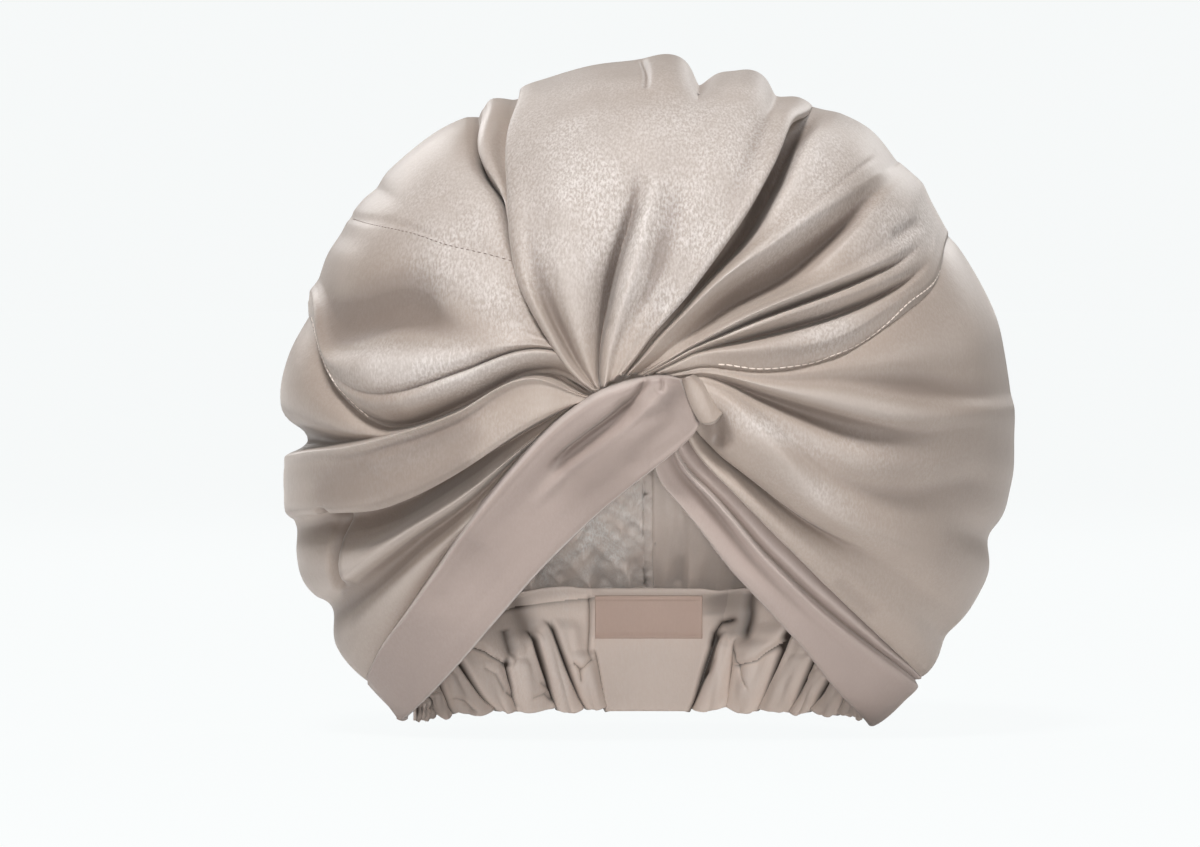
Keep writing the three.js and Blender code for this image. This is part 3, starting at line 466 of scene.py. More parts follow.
CROWN_LEFT = [Fold(*row) for row in (
    ("under", (150, 150, 135, 123, 116, 110, 108), (-5, -4, -3, -3.2, -3.2, -3, -2.6), 0, -18.6, -3.2),
    ("strip_near", (150, 152, 139.6, 127.6, 122, 116, 114),
     (-5, -3.6, -2.2, -1.4, -1.6, -1.5, -1), 0.3, -18.8, -3.4),
    ("strip", (151, 153, 140, 128.3, 124.4, 119, 117), (-5, -3.2, -1.6, -0.4, 1.8, 2, 0), 0, -19, -3.5),
    ("strip_far", (152, 153.6, 140.4, 129, 126.6, 121.6, 119),
     (-5, -3, -1, 0.2, 1.2, 1, 0), 0.2, -19.1, -3.6),
    ("slit", (153, 154, 141, 129.8, 127.8, 122.8, 120.4),
     (-5, -2.8, -0.4, -3.6, -6, -1, 0), 0.9, -19.2, -3.7),
    ("slit_side", (154, 154.6, 142, 131.6, 129.6, 125, 123),
     (-5, -2.4, 0.4, 1.2, 0.8, 1, 0), 0, -19.3, -3.8),
    ("body", (155, 155.6, 149, 141, 137, 134, 133), (-5, -1.4, 2.6, 2.8, 3, 2.4, 0), 0, -19.4, -3.9),
    ("full", (156, 156.6, 156, 150, 146.5, 144, 143), (-5, -0.6, 3.4, 3.6, 3.2, 2.2, 0), 0, -19.5, -4),
    ("dent_top", (157, 157.6, 159.6, 154.8, 159, 154, 152), (-5, 0.4, 3.2, 2.4, 2, 1.4, 0), 0, -19.6, -4.1),
    ("dent", (158, 158.6, 164.4, 163, 169.6, 162.6, 160), (-5, 0.8, 3, -1, -0.8, 0, 0), 0, -19.7, -4.2),
    ("dent_foot", (159, 159.6, 169.5, 171.2, 174, 164, 162.4),
     (-5, 1.4, 3.8, 2.2, 0.8, 0.4, 0), 0, -19.8, -4.3),
    ("puff", (160, 161, 172.4, 176.4, 176.4, 165.4, 164.2), (-5, 2, 4.4, 4.8, 3.2, 1.2, 0), 0, -19.9, -4.4),
    ("puff_low", (161, 161.8, 175, 181.4, 178, 166.4, 165.5), (-5, 1.6, 3.2, 3.6, 2, 0.8, 0), 0, -20, -4.5),
    ("pleat_line", (162, 162.4, 176.4, 182.8, 178.6, 166.9, 166.2),
     (-5, 0.6, 1, 2.2, 1.5, 0.6, 0), 0.6, -20.1, -4.6),
    ("pleat", (163, 164.4, 178.6, 184.6, 179.4, 167.4, 166.8),
     (-5, 3, 4.2, 3, 1.2, 0.5, 0), 0, -20.2, -4.7),
    ("pleat_low", (165, 168.6, 182, 186.8, 179.9, 167.7, 167.1),
     (-5, 1.8, 2.2, 1.6, 0.8, 0.3, 0), 0, -20.4, -4.8),
    ("valley", (172, 172.8, 186, 190, 180.8, 168.5, 168),
     (-5, -3, -4.2, -3.2, -0.7, -0.3, 0), 0.4, -20.6, -5),
    ("lap", (178, 175.4, 188.4, 191, 181.8, 169.4, 169),
     (-5, -3.6, -4, -3, -1.4, -0.9, -0.8), 0, -20.8, -5.2),
)]
SIDE_LEFT = [Fold(*row) for row in (
    ("lap", (189.5, 171, 184, 187.5, 178, 166.5, 166),
     (-4, -4.8, -5.4, -4.6, -2.8, -2, -1.8), 0, -20.4, -5),
    ("seam", (191.2, 174.6, 187, 190.4, 181.2, 169, 168.5),
     (-3.4, -4, -4.6, -3.6, -2, -1.4, -1.2), 0, -20.8, -5.2),
    ("bulge", (191.8, 176.2, 188, 191, 185, 177, 177), (-2, -2.4, -2.6, -1.4, 1.6, 2.6, 0), 0, -21, -5.4),
    ("bulge_low", (192.1, 176.8, 188.4, 191.4, 188.4, 184.5, 184.5),
     (-1.6, -1, -1, 0, 1.6, 2.8, 0), 0, -21.2, -5.6),
    ("groove", (192.6, 177.6, 188.7, 191.7, 191.2, 190, 190),
     (-1.4, 0.4, 0.8, 0.8, -1.8, -2.6, 0), 0.3, -21.4, -5.8),
    ("strip_top", (193.2, 178.8, 189.2, 192.2, 192.6, 192.8, 192.8),
     (-0.6, 2.8, 4.2, 4.6, 3.8, 2.4, 0), 0.35, -21.8, -6),
    ("strip_line", (193.6, 181.6, 191.2, 193.8, 194.2, 194.2, 194),
     (-0.8, 2, 2.8, 3.4, 3, 1.8, 0), 0, -22, -6.2),
    ("strip_mid", (194.2, 188, 197, 198, 197.8, 197.4, 197.4),
     (-0.8, 2.6, 3.6, 4, 3.4, 2, 0), 0, -22.4, -6.6),
    ("strip_low", (195, 197, 203, 203.8, 201.6, 200.4, 200),
     (-0.6, 3.2, 5, 5.8, 4.6, 2.6, 0), 0, -22.8, -7),
    ("strip_edge", (195.4, 199.4, 204.8, 205.6, 202.8, 201.4, 200.8),
     (-1, 2.4, 4, 4.8, 3.2, 1.4, 0), 0.6, -23, -7.2),
    ("strip_under", (195.6, 199.8, 204.4, 205, 202.6, 201.9, 201.2),
     (-2, -0.6, -1.4, -2.4, -0.4, 0.4, -1), 0, -23.2, -7.4),
    ("pocket", (196.6, 203, 206.4, 207.4, 204.6, 203.4, 203),
     (-2.6, -4.4, -7, -9, -3.6, 0, -1), 0, -23.4, -7.8),
    ("pocket_side", (198, 205, 208.8, 209.8, 207.8, 206.6, 206.4),
     (-2, -3, -3.4, -3.8, 0.4, 1.4, 0), 0, -23.8, -8.2),
    ("ridge", (200, 206.6, 210.8, 211.6, 212.6, 213, 213), (-2, -1.6, 3, 3.8, 3.6, 2.6, 0), 0.2, -24, -8.6),
    ("valley", (202, 208.2, 214.4, 215.4, 216.2, 216.6, 216.6),
     (-2, -2.6, -2.6, -2.6, -0.6, 0, 0), 0, -24.4, -9),
    ("last_ridge", (204, 210, 217, 218.6, 220, 221, 221),
     (-2, -2, 0.6, 1.4, 1.8, 1.6, 0.3), 0, -24.8, -9.4),
    ("under_crease", (206, 212, 219.6, 222.4, 224.8, 226.6, 226.6),
     (-2.4, -3, -2.4, -1, 0.4, 0.8, 0), 0, -25, -9.8),
    ("under_band", (208, 214.5, 223, 226.5, 229, 230, 230),
     (-2.6, -3.2, -3, -2.8, -2.6, -2.4, -2.4), 0, -25, -10.4),
)]
CROWN_RIGHT = [Fold(*row) for row in (
    ("seam_lap", (15, 5.4, 6.8, 12.6, 17.6, 25.2, 25.2),
     (-2.4, -1.8, -1.2, -0.8, -0.7, -0.6, -1), 0, 6, 2.5),
    ("seam", (17, 6.8, 7.8, 13.8, 18.8, 26, 26), (-0.8, -0.4, 0.6, 0.5, 0.4, 0.3, 0.2), 0.5, 5.6, 3),
    ("low_flat", (21, 11.4, 10.4, 16, 19.8, 26.8, 26.8), (-0.4, 1, 1.6, 1.6, 1.1, 0.4, 0), 0, 5, 3.2),
    ("low_ridge", (28, 17.4, 13, 17, 20.7, 27.4, 27.4), (-0.2, 2.6, 3, 2, 1.3, 0.5, 0), 0.2, 4, 3.4),
    ("lower_face", (30, 21, 17.4, 18.6, 21.6, 28, 28), (-1, 0.6, 1.6, 1.5, 1.4, 0.6, 0), 0, 3, 3.4),
    ("finger_valley", (31.4, 24, 20, 20, 22.5, 28.6, 28.6),
     (-2.4, -3.4, -3.8, -2.2, 1.3, 0.7, 0), 0, 2, 3.3),
    ("finger_low", (32.6, 26, 22.2, 21.4, 23.4, 29.2, 29.2), (-1, 0, 1, 1.4, 1.5, 0.8, 0), 0, 1, 3.2),
    ("finger", (34, 28, 24.2, 22.9, 24.3, 29.8, 29.8), (-0.4, 2.4, 3.6, 3.4, 1.7, 0.9, 0), 0, 0, 3.1),
    ("finger_top", (35.4, 30, 25.8, 24.4, 25.2, 30.4, 30.4), (-0.6, 2, 3, 2.8, 1.8, 1, 0), 0.3, -0.6, 3),
    ("thin_gap", (36.2, 31, 26.8, 25.2, 26.1, 31, 31), (-2, -1.8, -1.2, 0.2, 1.8, 1.1, 0), 0.3, -1.2, 2.9),
    ("ridge_b", (38.4, 34, 29.4, 27, 27.6, 31.8, 31.8), (0, 3.8, 5.2, 4.4, 2.4, 1.3, 0), 0.2, -2, 2.8),
    ("leaf_low", (41, 36.6, 31.2, 29.6, 30, 33.2, 33.2), (-0.6, 1.4, 2.8, 3, 2.6, 1.8, 0), 0, -2.6, 2.7),
    ("leaf", (43, 38.4, 32.6, 32, 33, 35.2, 35.2), (-1.4, -0.2, 1.2, 3, 3.4, 2.6, 0), 0, -3.2, 2.6),
    ("leaf_edge", (45, 40.4, 34.2, 35.2, 37.2, 37.4, 37.4),
     (-2, -2.8, -1.6, 2.4, 3.2, 2.2, 0), 0.3, -3.8, 2.6),
    ("big_valley", (49, 44.4, 38, 38, 39.2, 39.2, 39), (-2.8, -4.6, -6, -4, 1.8, 1.8, 0), 0, -4.6, 2.6),
    ("valley_side", (55, 49.4, 43, 40.8, 40.6, 40.2, 40), (-1.4, -2, -2.2, 0, 2.4, 1.6, 0), 0, -5.6, 2.6),
    ("ridge_c", (65, 57, 48.4, 44.2, 42.2, 41, 41), (0.6, 4.2, 6, 5.8, 3.6, 1.2, 0), 0.15, -7.2, 2.8),
    ("slope", (67.4, 59.6, 52, 49.4, 48.4, 48, 48), (0, 2.4, 3.8, 4.2, 4.6, 3.4, 0), 0, -7.8, 2.6),
    ("puff_edge", (69, 61.2, 54, 54.4, 55.6, 53.6, 53), (-1, 0, 1, 2.6, 3.8, 2.4, 0), 0.1, -8.2, 2.4),
    ("pocket", (71, 62.8, 56.8, 57, 58.2, 56.8, 56), (-3, -5, -7, -8, -4.6, 0.4, 0), 0, -8.6, 2),
    ("under_lip", (76, 66, 60.6, 60.8, 61.4, 60, 58.8),
     (-3.6, -4, -4.6, -4.6, -3.6, -1.2, -1.2), 0, -9, 1.6),
    ("under_end", (80, 69.5, 64.5, 64.5, 65, 63, 62), (-4.2, -3.6, -2.6, -2.2, -2.6, -3, -3), 0, -9.4, 1.2),
)]
SIDE_RIGHT = [Fold(*row) for row in (
    ("tuck", (-59, -51.6, -48, -46.4, -45.6, -45, -45),
     (-3.6, -1.8, -1.6, -1.6, -1.6, -1.6, -2), 0, 13, -14),
    ("roll_under", (-61, -53.6, -50.2, -48.7, -47.8, -47.4, -47),
     (-2, 0.4, 1.2, 1.4, 1, 0.4, 0), 0, 12, -14),
    ("lip", (-60, -52.6, -49.2, -47.7, -46.8, -46.4, -46),
     (-1, 1.8, 2.8, 2.8, 2.2, 1.2, 0), 0.1, 12.4, -13.4),
    ("lip_back", (-57.4, -50, -46.4, -44.2, -43.4, -43.2, -43.2),
     (-1, 1.6, 3, 3.4, 2.8, 1.4, 0), 0, 12.8, -12.6),
    ("valley_foot", (-54, -48, -44.4, -41.4, -40.6, -40.2, -40.2),
     (-2.4, -1.6, 1, 2.6, 2, 1, 0), 0, 13, -12),
    ("valley", (-52.4, -46.4, -42.8, -38.4, -37.8, -37.4, -37.4),
     (-3.6, -4.4, -2.2, 1.6, 1.2, 0.6, 0), 0, 13.2, -11.4),
    ("crisp_edge", (-51.4, -45.2, -41.2, -36.6, -35.8, -35.3, -35.3),
     (-1.6, -0.8, 0.8, 2.4, 1.8, 0.8, 0), 0.5, 13.4, -11),
    ("between", (-42, -37, -37.4, -34.4, -33, -32.5, -32.5), (-0.4, 2.6, 3.8, 3.4, 2.2, 1, 0), 0, 13.6, -9),
    ("long_ridge", (-8, -23, -34, -32.4, -30.6, -30, -30), (0.8, 4.8, 5.8, 3.6, 2, 1, 0), 0, 14, -3),
    ("shoulder", (-2, -18, -29, -28.4, -26, -26, -26), (0, 2.6, 3.6, 1.8, 0.8, 0.4, 0), 0, 13, -1),
    ("faint_valley", (1, -15, -26, -24.6, -18.4, -18, -18), (-1, 0.4, 1.8, 0.5, 0.2, 0.6, 0), 0.1, 12, 0),
    ("under_ridge", (3.4, -12.6, -19, -17.6, -13.4, -14, -14), (-1.6, -0.8, 1.6, 2.2, 2, 1.4, 0), 0, 11, 1),
    ("dark_valley", (6, -7.6, -12.5, -11.4, -8.4, -9, -9), (-2.8, -4, -2.8, 1.8, 2.6, 1.6, 0), 0, 10, 1.6),
    ("side_ridge", (8.6, -2, -6.5, -7.4, -5.6, -5, -5), (-1.4, 0.4, 2.6, 4, 3.2, 1.8, 0), 0, 9, 2),
    ("shade", (11, 1.4, 0.4, -1.4, -2.6, -2, -2), (-1.4, -0.6, 0.6, 0.8, 1.6, 1, 0), 0, 8, 2.2),
    ("upper", (13, 3.6, 3.8, 5, 6, 10, 10), (-1.4, -0.6, 0.8, 2.2, 2.8, 2, 0), 0, 7, 2.4),
    ("near_seam", (15, 5.4, 6.4, 11.6, 16.4, 22.4, 22.4),
     (-1.8, -1.2, -0.4, 0.4, 0.6, 0.8, 0), 0, 6.4, 2.6),
    ("under_seam", (19, 9.4, 9.8, 15.4, 20.4, 27.4, 27.4),
     (-3, -2.4, -1.8, -1.4, -1.4, -1.4, -1.6), 0, 5.6, 2.6),
)]
BAND_RIGHT = [Fold(*row) for row in (
    ("turned_in", (-96, -74.4, -64.8, -59.6, -57.8, -56.4, -56.4),
     (-2.6, -1.6, -0.9, -0.6, -0.8, -0.9, -1), 0, 4, -22),
    ("hem", (-99, -76, -66, -60.6, -58.8, -57.4, -57.4),
     (-1.2, -0.2, 0.6, 0.8, 0.7, 0.4, 0.2), 0, 3.5, -22),
    ("hem_top", (-98, -75.2, -65.2, -60, -58.2, -56.9, -56.9), (-0.4, 1.2, 2, 2, 1.8, 1.5, 1), 0, 4, -21),
    ("face_low", (-90, -70.6, -62.4, -57.8, -55.8, -54.8, -54.8),
     (-1.4, 0, 1.8, 2.2, 2.3, 2, 1), 0, 6, -20),
    ("face_high", (-80, -65, -59.4, -55.2, -52.6, -51.4, -51.4),
     (-2.4, -1.6, 0.4, 1.4, 1.9, 1.8, 1), 0, 8, -18),
    ("crest", (-75.4, -62, -56.8, -53, -50.2, -48.8, -48.8),
     (0.2, 1.4, 1.9, 1.9, 2.0, 1.8, 0.8), 0.1, 9, -17),
    ("crease", (-74, -60.4, -55.6, -52.2, -49.6, -48.3, -48.3),
     (-1.6, -1.2, -0.8, -0.6, -0.4, -0.3, -0.2), 0.5, 9.6, -16.6),
    ("pleat", (-69, -57.4, -53.2, -50.2, -48.6, -47.6, -47.6),
     (-1.4, -0.4, 0.8, 1, 1, 0.8, 0.4), 0, 10, -16),
    ("hidden_start", (-62, -52.8, -49.6, -48, -47.2, -46.9, -46.9),
     (-3, -2, -1.6, -1.4, -1.2, -1.2, -1.4), 0, 11, -15),
    ("hidden", (-57, -49.4, -46.4, -45, -44.8, -44.4, -44.4),
     (-4.8, -3.8, -3.4, -3.2, -3.2, -3.2, -3.4), 0, 12, -14),
)]


def hermite_rows(values, gaps, crisp, index, f):
    """Curve across the fold lines: values is (rows, points), gaps the distance between neighbouring rows."""
    tangent = np.zeros_like(values)
    tangent[1:-1] = (values[2:] - values[:-2]) / (gaps[1:] + gaps[:-1])
    tangent[0] = (values[1] - values[0]) / gaps[0]
    tangent[-1] = (values[-1] - values[-2]) / gaps[-1]
    tangent *= (1 - np.asarray(crisp, float))[:, None]
    at = np.arange(values.shape[1])
    d = gaps[index, at]
    leaving, arriving = tangent[index, at] * d, tangent[index + 1, at] * d
    return hermite(f, values[index, at], values[index + 1, at], leaving, arriving)


def mm_of(angle, t):
    """Front-view place of a point given by angle and share of the radius."""
    r = outline(angle, front_fade(t)) * t
    return r * cosd(angle), r * sind(angle)


def line_of(points, count=80):
    """A smooth front-view line through (angle, share) points."""
    angles, shares = zip(*points)
    stops = np.linspace(0, 1, len(points))
    q = np.linspace(0, 1, count)
    return np.stack(mm_of(spline(stops, angles, q), spline(stops, shares, q)), axis=-1)


def near_path(x, z, points):
    """Distance from a path of (x, z) points and how far along it, 0 to 1."""
    best, share = np.full(x.shape, 1e9), np.zeros(x.shape)
    for k in range(len(points) - 1):
        p = np.array(points[k], float)
        d = np.array(points[k + 1], float) - p
        s = np.clip(((x - p[0]) * d[0] + (z - p[1]) * d[1]) / (d @ d), 0, 1)
        gap = np.hypot(x - p[0] - s * d[0], z - p[1] - s * d[1])
        near = gap < best
        best = np.where(near, gap, best)
        share = np.where(near, (k + s) / (len(points) - 1), share)
    return best, share


def pressed_lines(x, z, lines):
    """Creases and ridges pressed in a cloth, from (points, depth, width, dark): how deep, and how much
    painted shade, where a negative dark is a painted highlight.
    """
    sink, shade = np.zeros(x.shape), np.zeros(x.shape)
    for points, depth, width, dark in lines:
        gap, share = near_path(x, z, points)
        here = bell(gap, width) * between(share, 0.15, 0.2)
        sink, shade = sink + depth * here, shade + dark * here
    return sink, shade


RIPPLE_ACROSS = 0.16
RIPPLE_ALONG = 3.2


def ripples(seed, angle, t, count=9):
    """Soft irregular undulation that runs mostly along the folds."""
    rng = np.random.default_rng(seed)
    total = np.zeros(np.shape(angle))
    for _ in range(count):
        across = rng.uniform(0.35, 1.0) * RIPPLE_ACROSS * math.pi
        along = rng.uniform(0.3, 1.0) * RIPPLE_ALONG * math.pi
        way = rng.choice([-1, 1])
        phase = rng.uniform(0, 6.28)
        total = total + np.sin(across * angle * way + along * t + phase) * rng.uniform(0.5, 1)
    return total / count


SPREAD = 90           # distance from the knot at which the widths between folds are measured
LEAST_WIDTH = 3.0
OPEN_ROW = 0.2        # share of the cloth's length at which the folds leave the gathering
RIM_ROW = 0.82        # and at which they cross the widest line
MARK_END = 0.12       # a drawn fold fades out over this much of its length
TUCK_UNDER = 1.5      # the back edge rolls down this far on to the back pieces


def fold_stops(rows):
    """Where each fold line lies across the cloth, 0 to 1."""
    widths = []
    for row, after in zip(rows, rows[1:]):
        across = np.radians(after.angles[MID_STATION] - row.angles[MID_STATION]) * SPREAD
        rise = after.heights[MID_STATION] - row.heights[MID_STATION]
        widths.append(max(math.hypot(across, rise), LEAST_WIDTH))
    return np.concatenate([[0], np.cumsum(widths)]) / sum(widths)


def marked(x, z, t, marks):
    """Height and shade of the marks drawn on a panel: a fold is tapered, and a seam has no shade."""
    in_front = eased(t, 1.12, 1.02)
    height, shade = np.zeros(len(x)), np.zeros(len(x))
    for kind, points, sink, width in marks:
        gap, share = near_path(x, z, line_of(points))
        if kind == "shade":
            shade = shade + sink * in_front * bell(gap, width, 4)
            continue
        here = in_front * bell(gap, width)
        if kind == "fold":
            here = here * between(share, MARK_END, MARK_END)
        height = height + sink * here
        # folds and dents are painted darker with their depth, as shade, and raised marks a little paler, as a
        # highlight
        if kind != "seam":
            shade = shade - here * np.clip(sink / 3.5, -1, 0.3)
    return height, shade


def panel(rows, seed, marks=(), wave=0.8, depth=1.5):
    """Surface of a fan-folded panel. Marks are (kind, (angle, share) points, height or shade, width)."""
    order = np.arange(len(rows))
    stops = fold_stops(rows)
    crisp = [row.crisp for row in rows]

    def surface(u, v):
        c = np.interp(u, stops, order)
        index = np.clip(np.floor(c).astype(int), 0, len(rows) - 2)
        f = c - index
        at = np.arange(len(u))
        rim = np.interp(c, order, [row.angles[RIM_STATION] for row in rows])
        root_x = np.interp(c, order, [row.root_x for row in rows])
        root_z = np.interp(c, order, [row.root_z for row in rows])
        t0 = np.hypot(root_x, root_z) / outline(angle_of(root_x, root_z, -100), 0)
        # how far back each row of the cloth lies
        near = v < OPEN_ROW
        behind = v > RIM_ROW
        open_turn = np.degrees(np.arcsin(GATHER_SHARE ** (front_power(rim) / 2)))
        turn = open_turn + (90 - open_turn) * (v - OPEN_ROW) / (RIM_ROW - OPEN_ROW)
        turn = np.where(behind, 90 + (back_end(rim) - 0.2 - 90) * (v - RIM_ROW) / (1 - RIM_ROW), turn)
        t = power(sind(np.clip(turn, 0.1, 90)), 2 / front_power(rim))
        t = np.where(behind, 1 + (turn - 90) / 90, t)
        t = np.where(near, t0 + (GATHER_SHARE - t0) * v / OPEN_ROW, t)
        # the folds there, in angle and height
        angles = np.stack([spline(STATIONS, row.angles, t) for row in rows])
        heights = np.stack([spline(STATIONS, row.heights, t) for row in rows])
        heights = heights * (1 + (depth - 1) * eased(t, 1.15, 0.85) * eased(t, 0.12, 0.28))
        radius = outline(np.mean(angles, axis=0), 0) * np.clip(t, 0.12, 1)
        gaps = np.hypot(np.radians(np.diff(angles, axis=0)) * radius, np.diff(heights, axis=0))
        gaps = np.maximum(gaps, 0.05)
        sunk = np.zeros_like(heights)
        sunk[1:-1] = (heights[2:] + heights[:-2]) / 2 - heights[1:-1]
        a = hermite_rows(angles, gaps, crisp, index, f)
        h = hermite_rows(heights, gaps, crisp, index, f)
        # how far the cloth at each fold row lies below its neighbours, turned below into painted shading
        painted_shading = hermite_rows(sunk, gaps, crisp, index, f)
        # run the folds in to the gathering line
        x, z = mm_of(a, t)
        starts = np.stack([spline(STATIONS, row.angles, t0) for row in rows])
        a0 = starts[index, at] * (1 - f) + starts[index + 1, at] * f
        r0 = outline(a0, 0) * t0
        pull = np.where(near, (1 - np.clip((t - t0) / (GATHER_SHARE - t0), 0, 1)) ** 2, 0)
        x = x + (root_x - r0 * cosd(a0)) * pull
        z = z + (root_z - r0 * sind(a0)) * pull
        angle = np.where(behind, a, angle_of(x, z, -100))
        t2 = np.hypot(x, z) / outline(angle, front_fade(t))
        turn = np.where(behind, turn, front_turn(angle, np.minimum(t2, 1)))
        edge = between(u, 0.08, 0.08) * eased(t, 0.2, 0.5)
        height, shade = marked(x, z, t, marks)
        h = h + wave * edge * ripples(seed, a, t) + height - TUCK_UNDER * eased(v, 0.965, 1)
        p = dome(angle, turn) + dome_normal(angle, turn) * h[:, None]
        # painted shading: sunk rows are painted darker as shade, raised rows paler as a highlight, and the
        # marks add their painted shade
        painted_shading = eased(painted_shading, 0.3, 3.7) - 0.35 * eased(painted_shading, -0.4, -5.4) + shade
        return p, {"painted_shading": painted_shading * np.where(behind, eased(t, 1.3, 1.1), 1)}

    return surface


# ---- materials ----------------------------------------------------------------------
SHEEN_TINT = (1.0, 0.95, 0.9, 1)
GLOSS_TINT = (1.0, 0.98, 0.96, 1)
GLOSS = 0.62
SHEEN_SPREAD = 0.45
# painted highlight: the pale colour that raised folds are painted towards
PAINTED_HIGHLIGHT_COLOR = (0.8, 0.74, 0.7, 1)
PAINTED_HIGHLIGHT_SHARE = 0.55         # how far a raised fold is painted towards that highlight colour
CLOUD_SCALE = 14           # broad unevenness of the dye
BLOTCH_SCALE = 45          # patches where the speckles gather
SPECK_SCALE = 820          # speckles of the weave, painted in a paler colour as glints
SPECK_SHAPE = (1.6, 1.0, 0.7)
UNEVEN_SCALE = 240
WEAVE_SCALE = 1500
PAINTED_BLOOM = 0.34                # painted highlight: a pale bloom under the speckles
GLINT_ROUGHNESS = 0.24
BUMP_STRENGTH = 0.22
BUMP_DISTANCE = 0.0006
DULL = 0.1                 # painted glints where no patch is given


def toned(color, factor):
    return tuple(min(1, c * factor) for c in color[:3]) + (1,)


def cloth_material(name, color, roughness, glint_color, grain=1.0, sheen=0.25, painted_shade_strength=0.55, glint_amount=1.0,
                   painted_shade_color=(0.12, 0.085, 0.068, 1)):
    """Satin: painted glints where its glint amount is painted, painted shade in its hollows and a painted
    highlight on its ridges.
    """
    mat, nodes, links, out = node_material(name)
    bsdf = nodes.new("ShaderNodeBsdfPrincipled")
    links.new(bsdf.outputs[0], out.inputs[0])
    bsdf.inputs["Sheen Weight"].default_value = sheen
    bsdf.inputs["Sheen Roughness"].default_value = SHEEN_SPREAD
    bsdf.inputs["Sheen Tint"].default_value = SHEEN_TINT
    bsdf.inputs["Specular IOR Level"].default_value = GLOSS
    bsdf.inputs["Specular Tint"].default_value = GLOSS_TINT
    coord = nodes.new("ShaderNodeTexCoord").outputs["Object"]

    def feed(socket, value):
        if isinstance(value, (int, float, tuple)):
            socket.default_value = value
        else:
            links.new(value, socket)

    def noise(scale, detail, rough=0.5, place=coord):
        tex = nodes.new("ShaderNodeTexNoise")
        tex.inputs["Scale"].default_value = scale
        tex.inputs["Detail"].default_value = detail
        tex.inputs["Roughness"].default_value = rough
        links.new(place, tex.inputs["Vector"])
        return tex.outputs[0]

    def ramp(source, low, high):
        node = nodes.new("ShaderNodeMapRange")
        node.inputs["From Min"].default_value = low
        node.inputs["From Max"].default_value = high
        links.new(source, node.inputs["Value"])
        return node.outputs[0]

    def mix(factor, a, b):
        node = nodes.new("ShaderNodeMix")
        node.data_type = "RGBA"
        feed(node.inputs[0], factor)
        feed(node.inputs[6], a)
        feed(node.inputs[7], b)
        return node.outputs[2]

    def combine(kind, a, b):
        node = nodes.new("ShaderNodeMath")
        node.operation = kind
        feed(node.inputs[0], a)
        feed(node.inputs[1], b)
        return node.outputs[0]

    def times(a, b):
        return combine("MULTIPLY", a, b)

    def plus(a, b):
        return combine("ADD", a, b)

    def painted(layer):
        node = nodes.new("ShaderNodeAttribute")
        node.attribute_name = layer
        return node.outputs["Fac"]

    shape = nodes.new("ShaderNodeMapping")
    shape.inputs["Scale"].default_value = SPECK_SHAPE
    links.new(coord, shape.inputs["Vector"])
    # painted glints: pale speckles and a pale bloom where the glint amount is painted
    painted_glints = times(painted("painted_glints"), glint_amount)
    blotch = noise(BLOTCH_SCALE, 3)
    specks = ramp(noise(SPECK_SCALE, 2, 0.6, shape.outputs[0]), 0.38, 0.66)
    specks = times(times(specks, ramp(blotch, 0.15, 0.6)), painted_glints)
    base = mix(ramp(noise(CLOUD_SCALE, 3), 0.3, 0.7), toned(color, 0.9), toned(color, 1.07))
    base = mix(times(ramp(painted_glints, 0.1, 1.0), PAINTED_BLOOM), base, toned(glint_color, 0.86))
    base = mix(specks, base, glint_color)
    painted_shading = painted("painted_shading")
    # painted shade in the hollows, then a painted highlight on the ridges
    base = mix(times(ramp(painted_shading, 0.0, 1.0), painted_shade_strength), base, painted_shade_color)
    base = mix(times(ramp(times(painted_shading, -1.0), 0.0, 1.0), PAINTED_HIGHLIGHT_SHARE), base, PAINTED_HIGHLIGHT_COLOR)
    links.new(base, bsdf.inputs["Base Color"])
    mottled = plus(ramp(blotch, -5, 5), roughness - 0.5)
    links.new(plus(mottled, times(painted_glints, GLINT_ROUGHNESS)), bsdf.inputs["Roughness"])
    height = plus(times(noise(WEAVE_SCALE, 2), 0.35), noise(UNEVEN_SCALE, 3))
    bump = nodes.new("ShaderNodeBump")
    bump.inputs["Strength"].default_value = BUMP_STRENGTH * grain
    bump.inputs["Distance"].default_value = BUMP_DISTANCE
    links.new(plus(height, times(specks, 0.8)), bump.inputs["Height"])
    links.new(bump.outputs[0], bsdf.inputs["Normal"])
    return mat


CHAMPAGNE = (0.35, 0.283, 0.238, 1)
SATIN = cloth_material("champagne_satin", CHAMPAGNE, 0.38, (0.61, 0.56, 0.53, 1))
PLAIN = cloth_material("plain_satin", CHAMPAGNE, 0.38, (0.66, 0.61, 0.58, 1), glint_amount=0.1)
BAND = cloth_material("band_satin", (0.342, 0.272, 0.242, 1), 0.48, (0.5, 0.43, 0.4, 1),
                      grain=0.7, sheen=0.3, painted_shade_strength=0.64)
# the casing is the same satin, painted much paler than the outside to stand in for light on the dim inside,
# with darker painted shade
CASING = cloth_material("casing_satin", (0.8, 0.665, 0.58, 1), 0.46, (0.87, 0.78, 0.72, 1),
                        grain=0.8, painted_shade_strength=1.0, painted_shade_color=(0.05, 0.034, 0.026, 1))
# the inside face of the satin, painted paler than the outside to stand in for light on the dim inside
INSIDE_PAINTED_LIGHTER = cloth_material("inside_satin_painted_lighter", (0.72, 0.61, 0.54, 1), 0.5, (0.95, 0.91, 0.87, 1), grain=0.9)
LABEL = cloth_material("label_ribbon", (0.56, 0.405, 0.335, 1), 0.55, (0.7, 0.55, 0.48, 1), sheen=0.15)
THREAD = cloth_material("seam_thread", (0.8, 0.7, 0.62, 1), 0.5, (0.7, 0.6, 0.55, 1), grain=0.5)
DARK_THREAD = cloth_material("dark_thread", (0.2, 0.15, 0.13, 1), 0.6, (0.2, 0.15, 0.13, 1), grain=0.5)


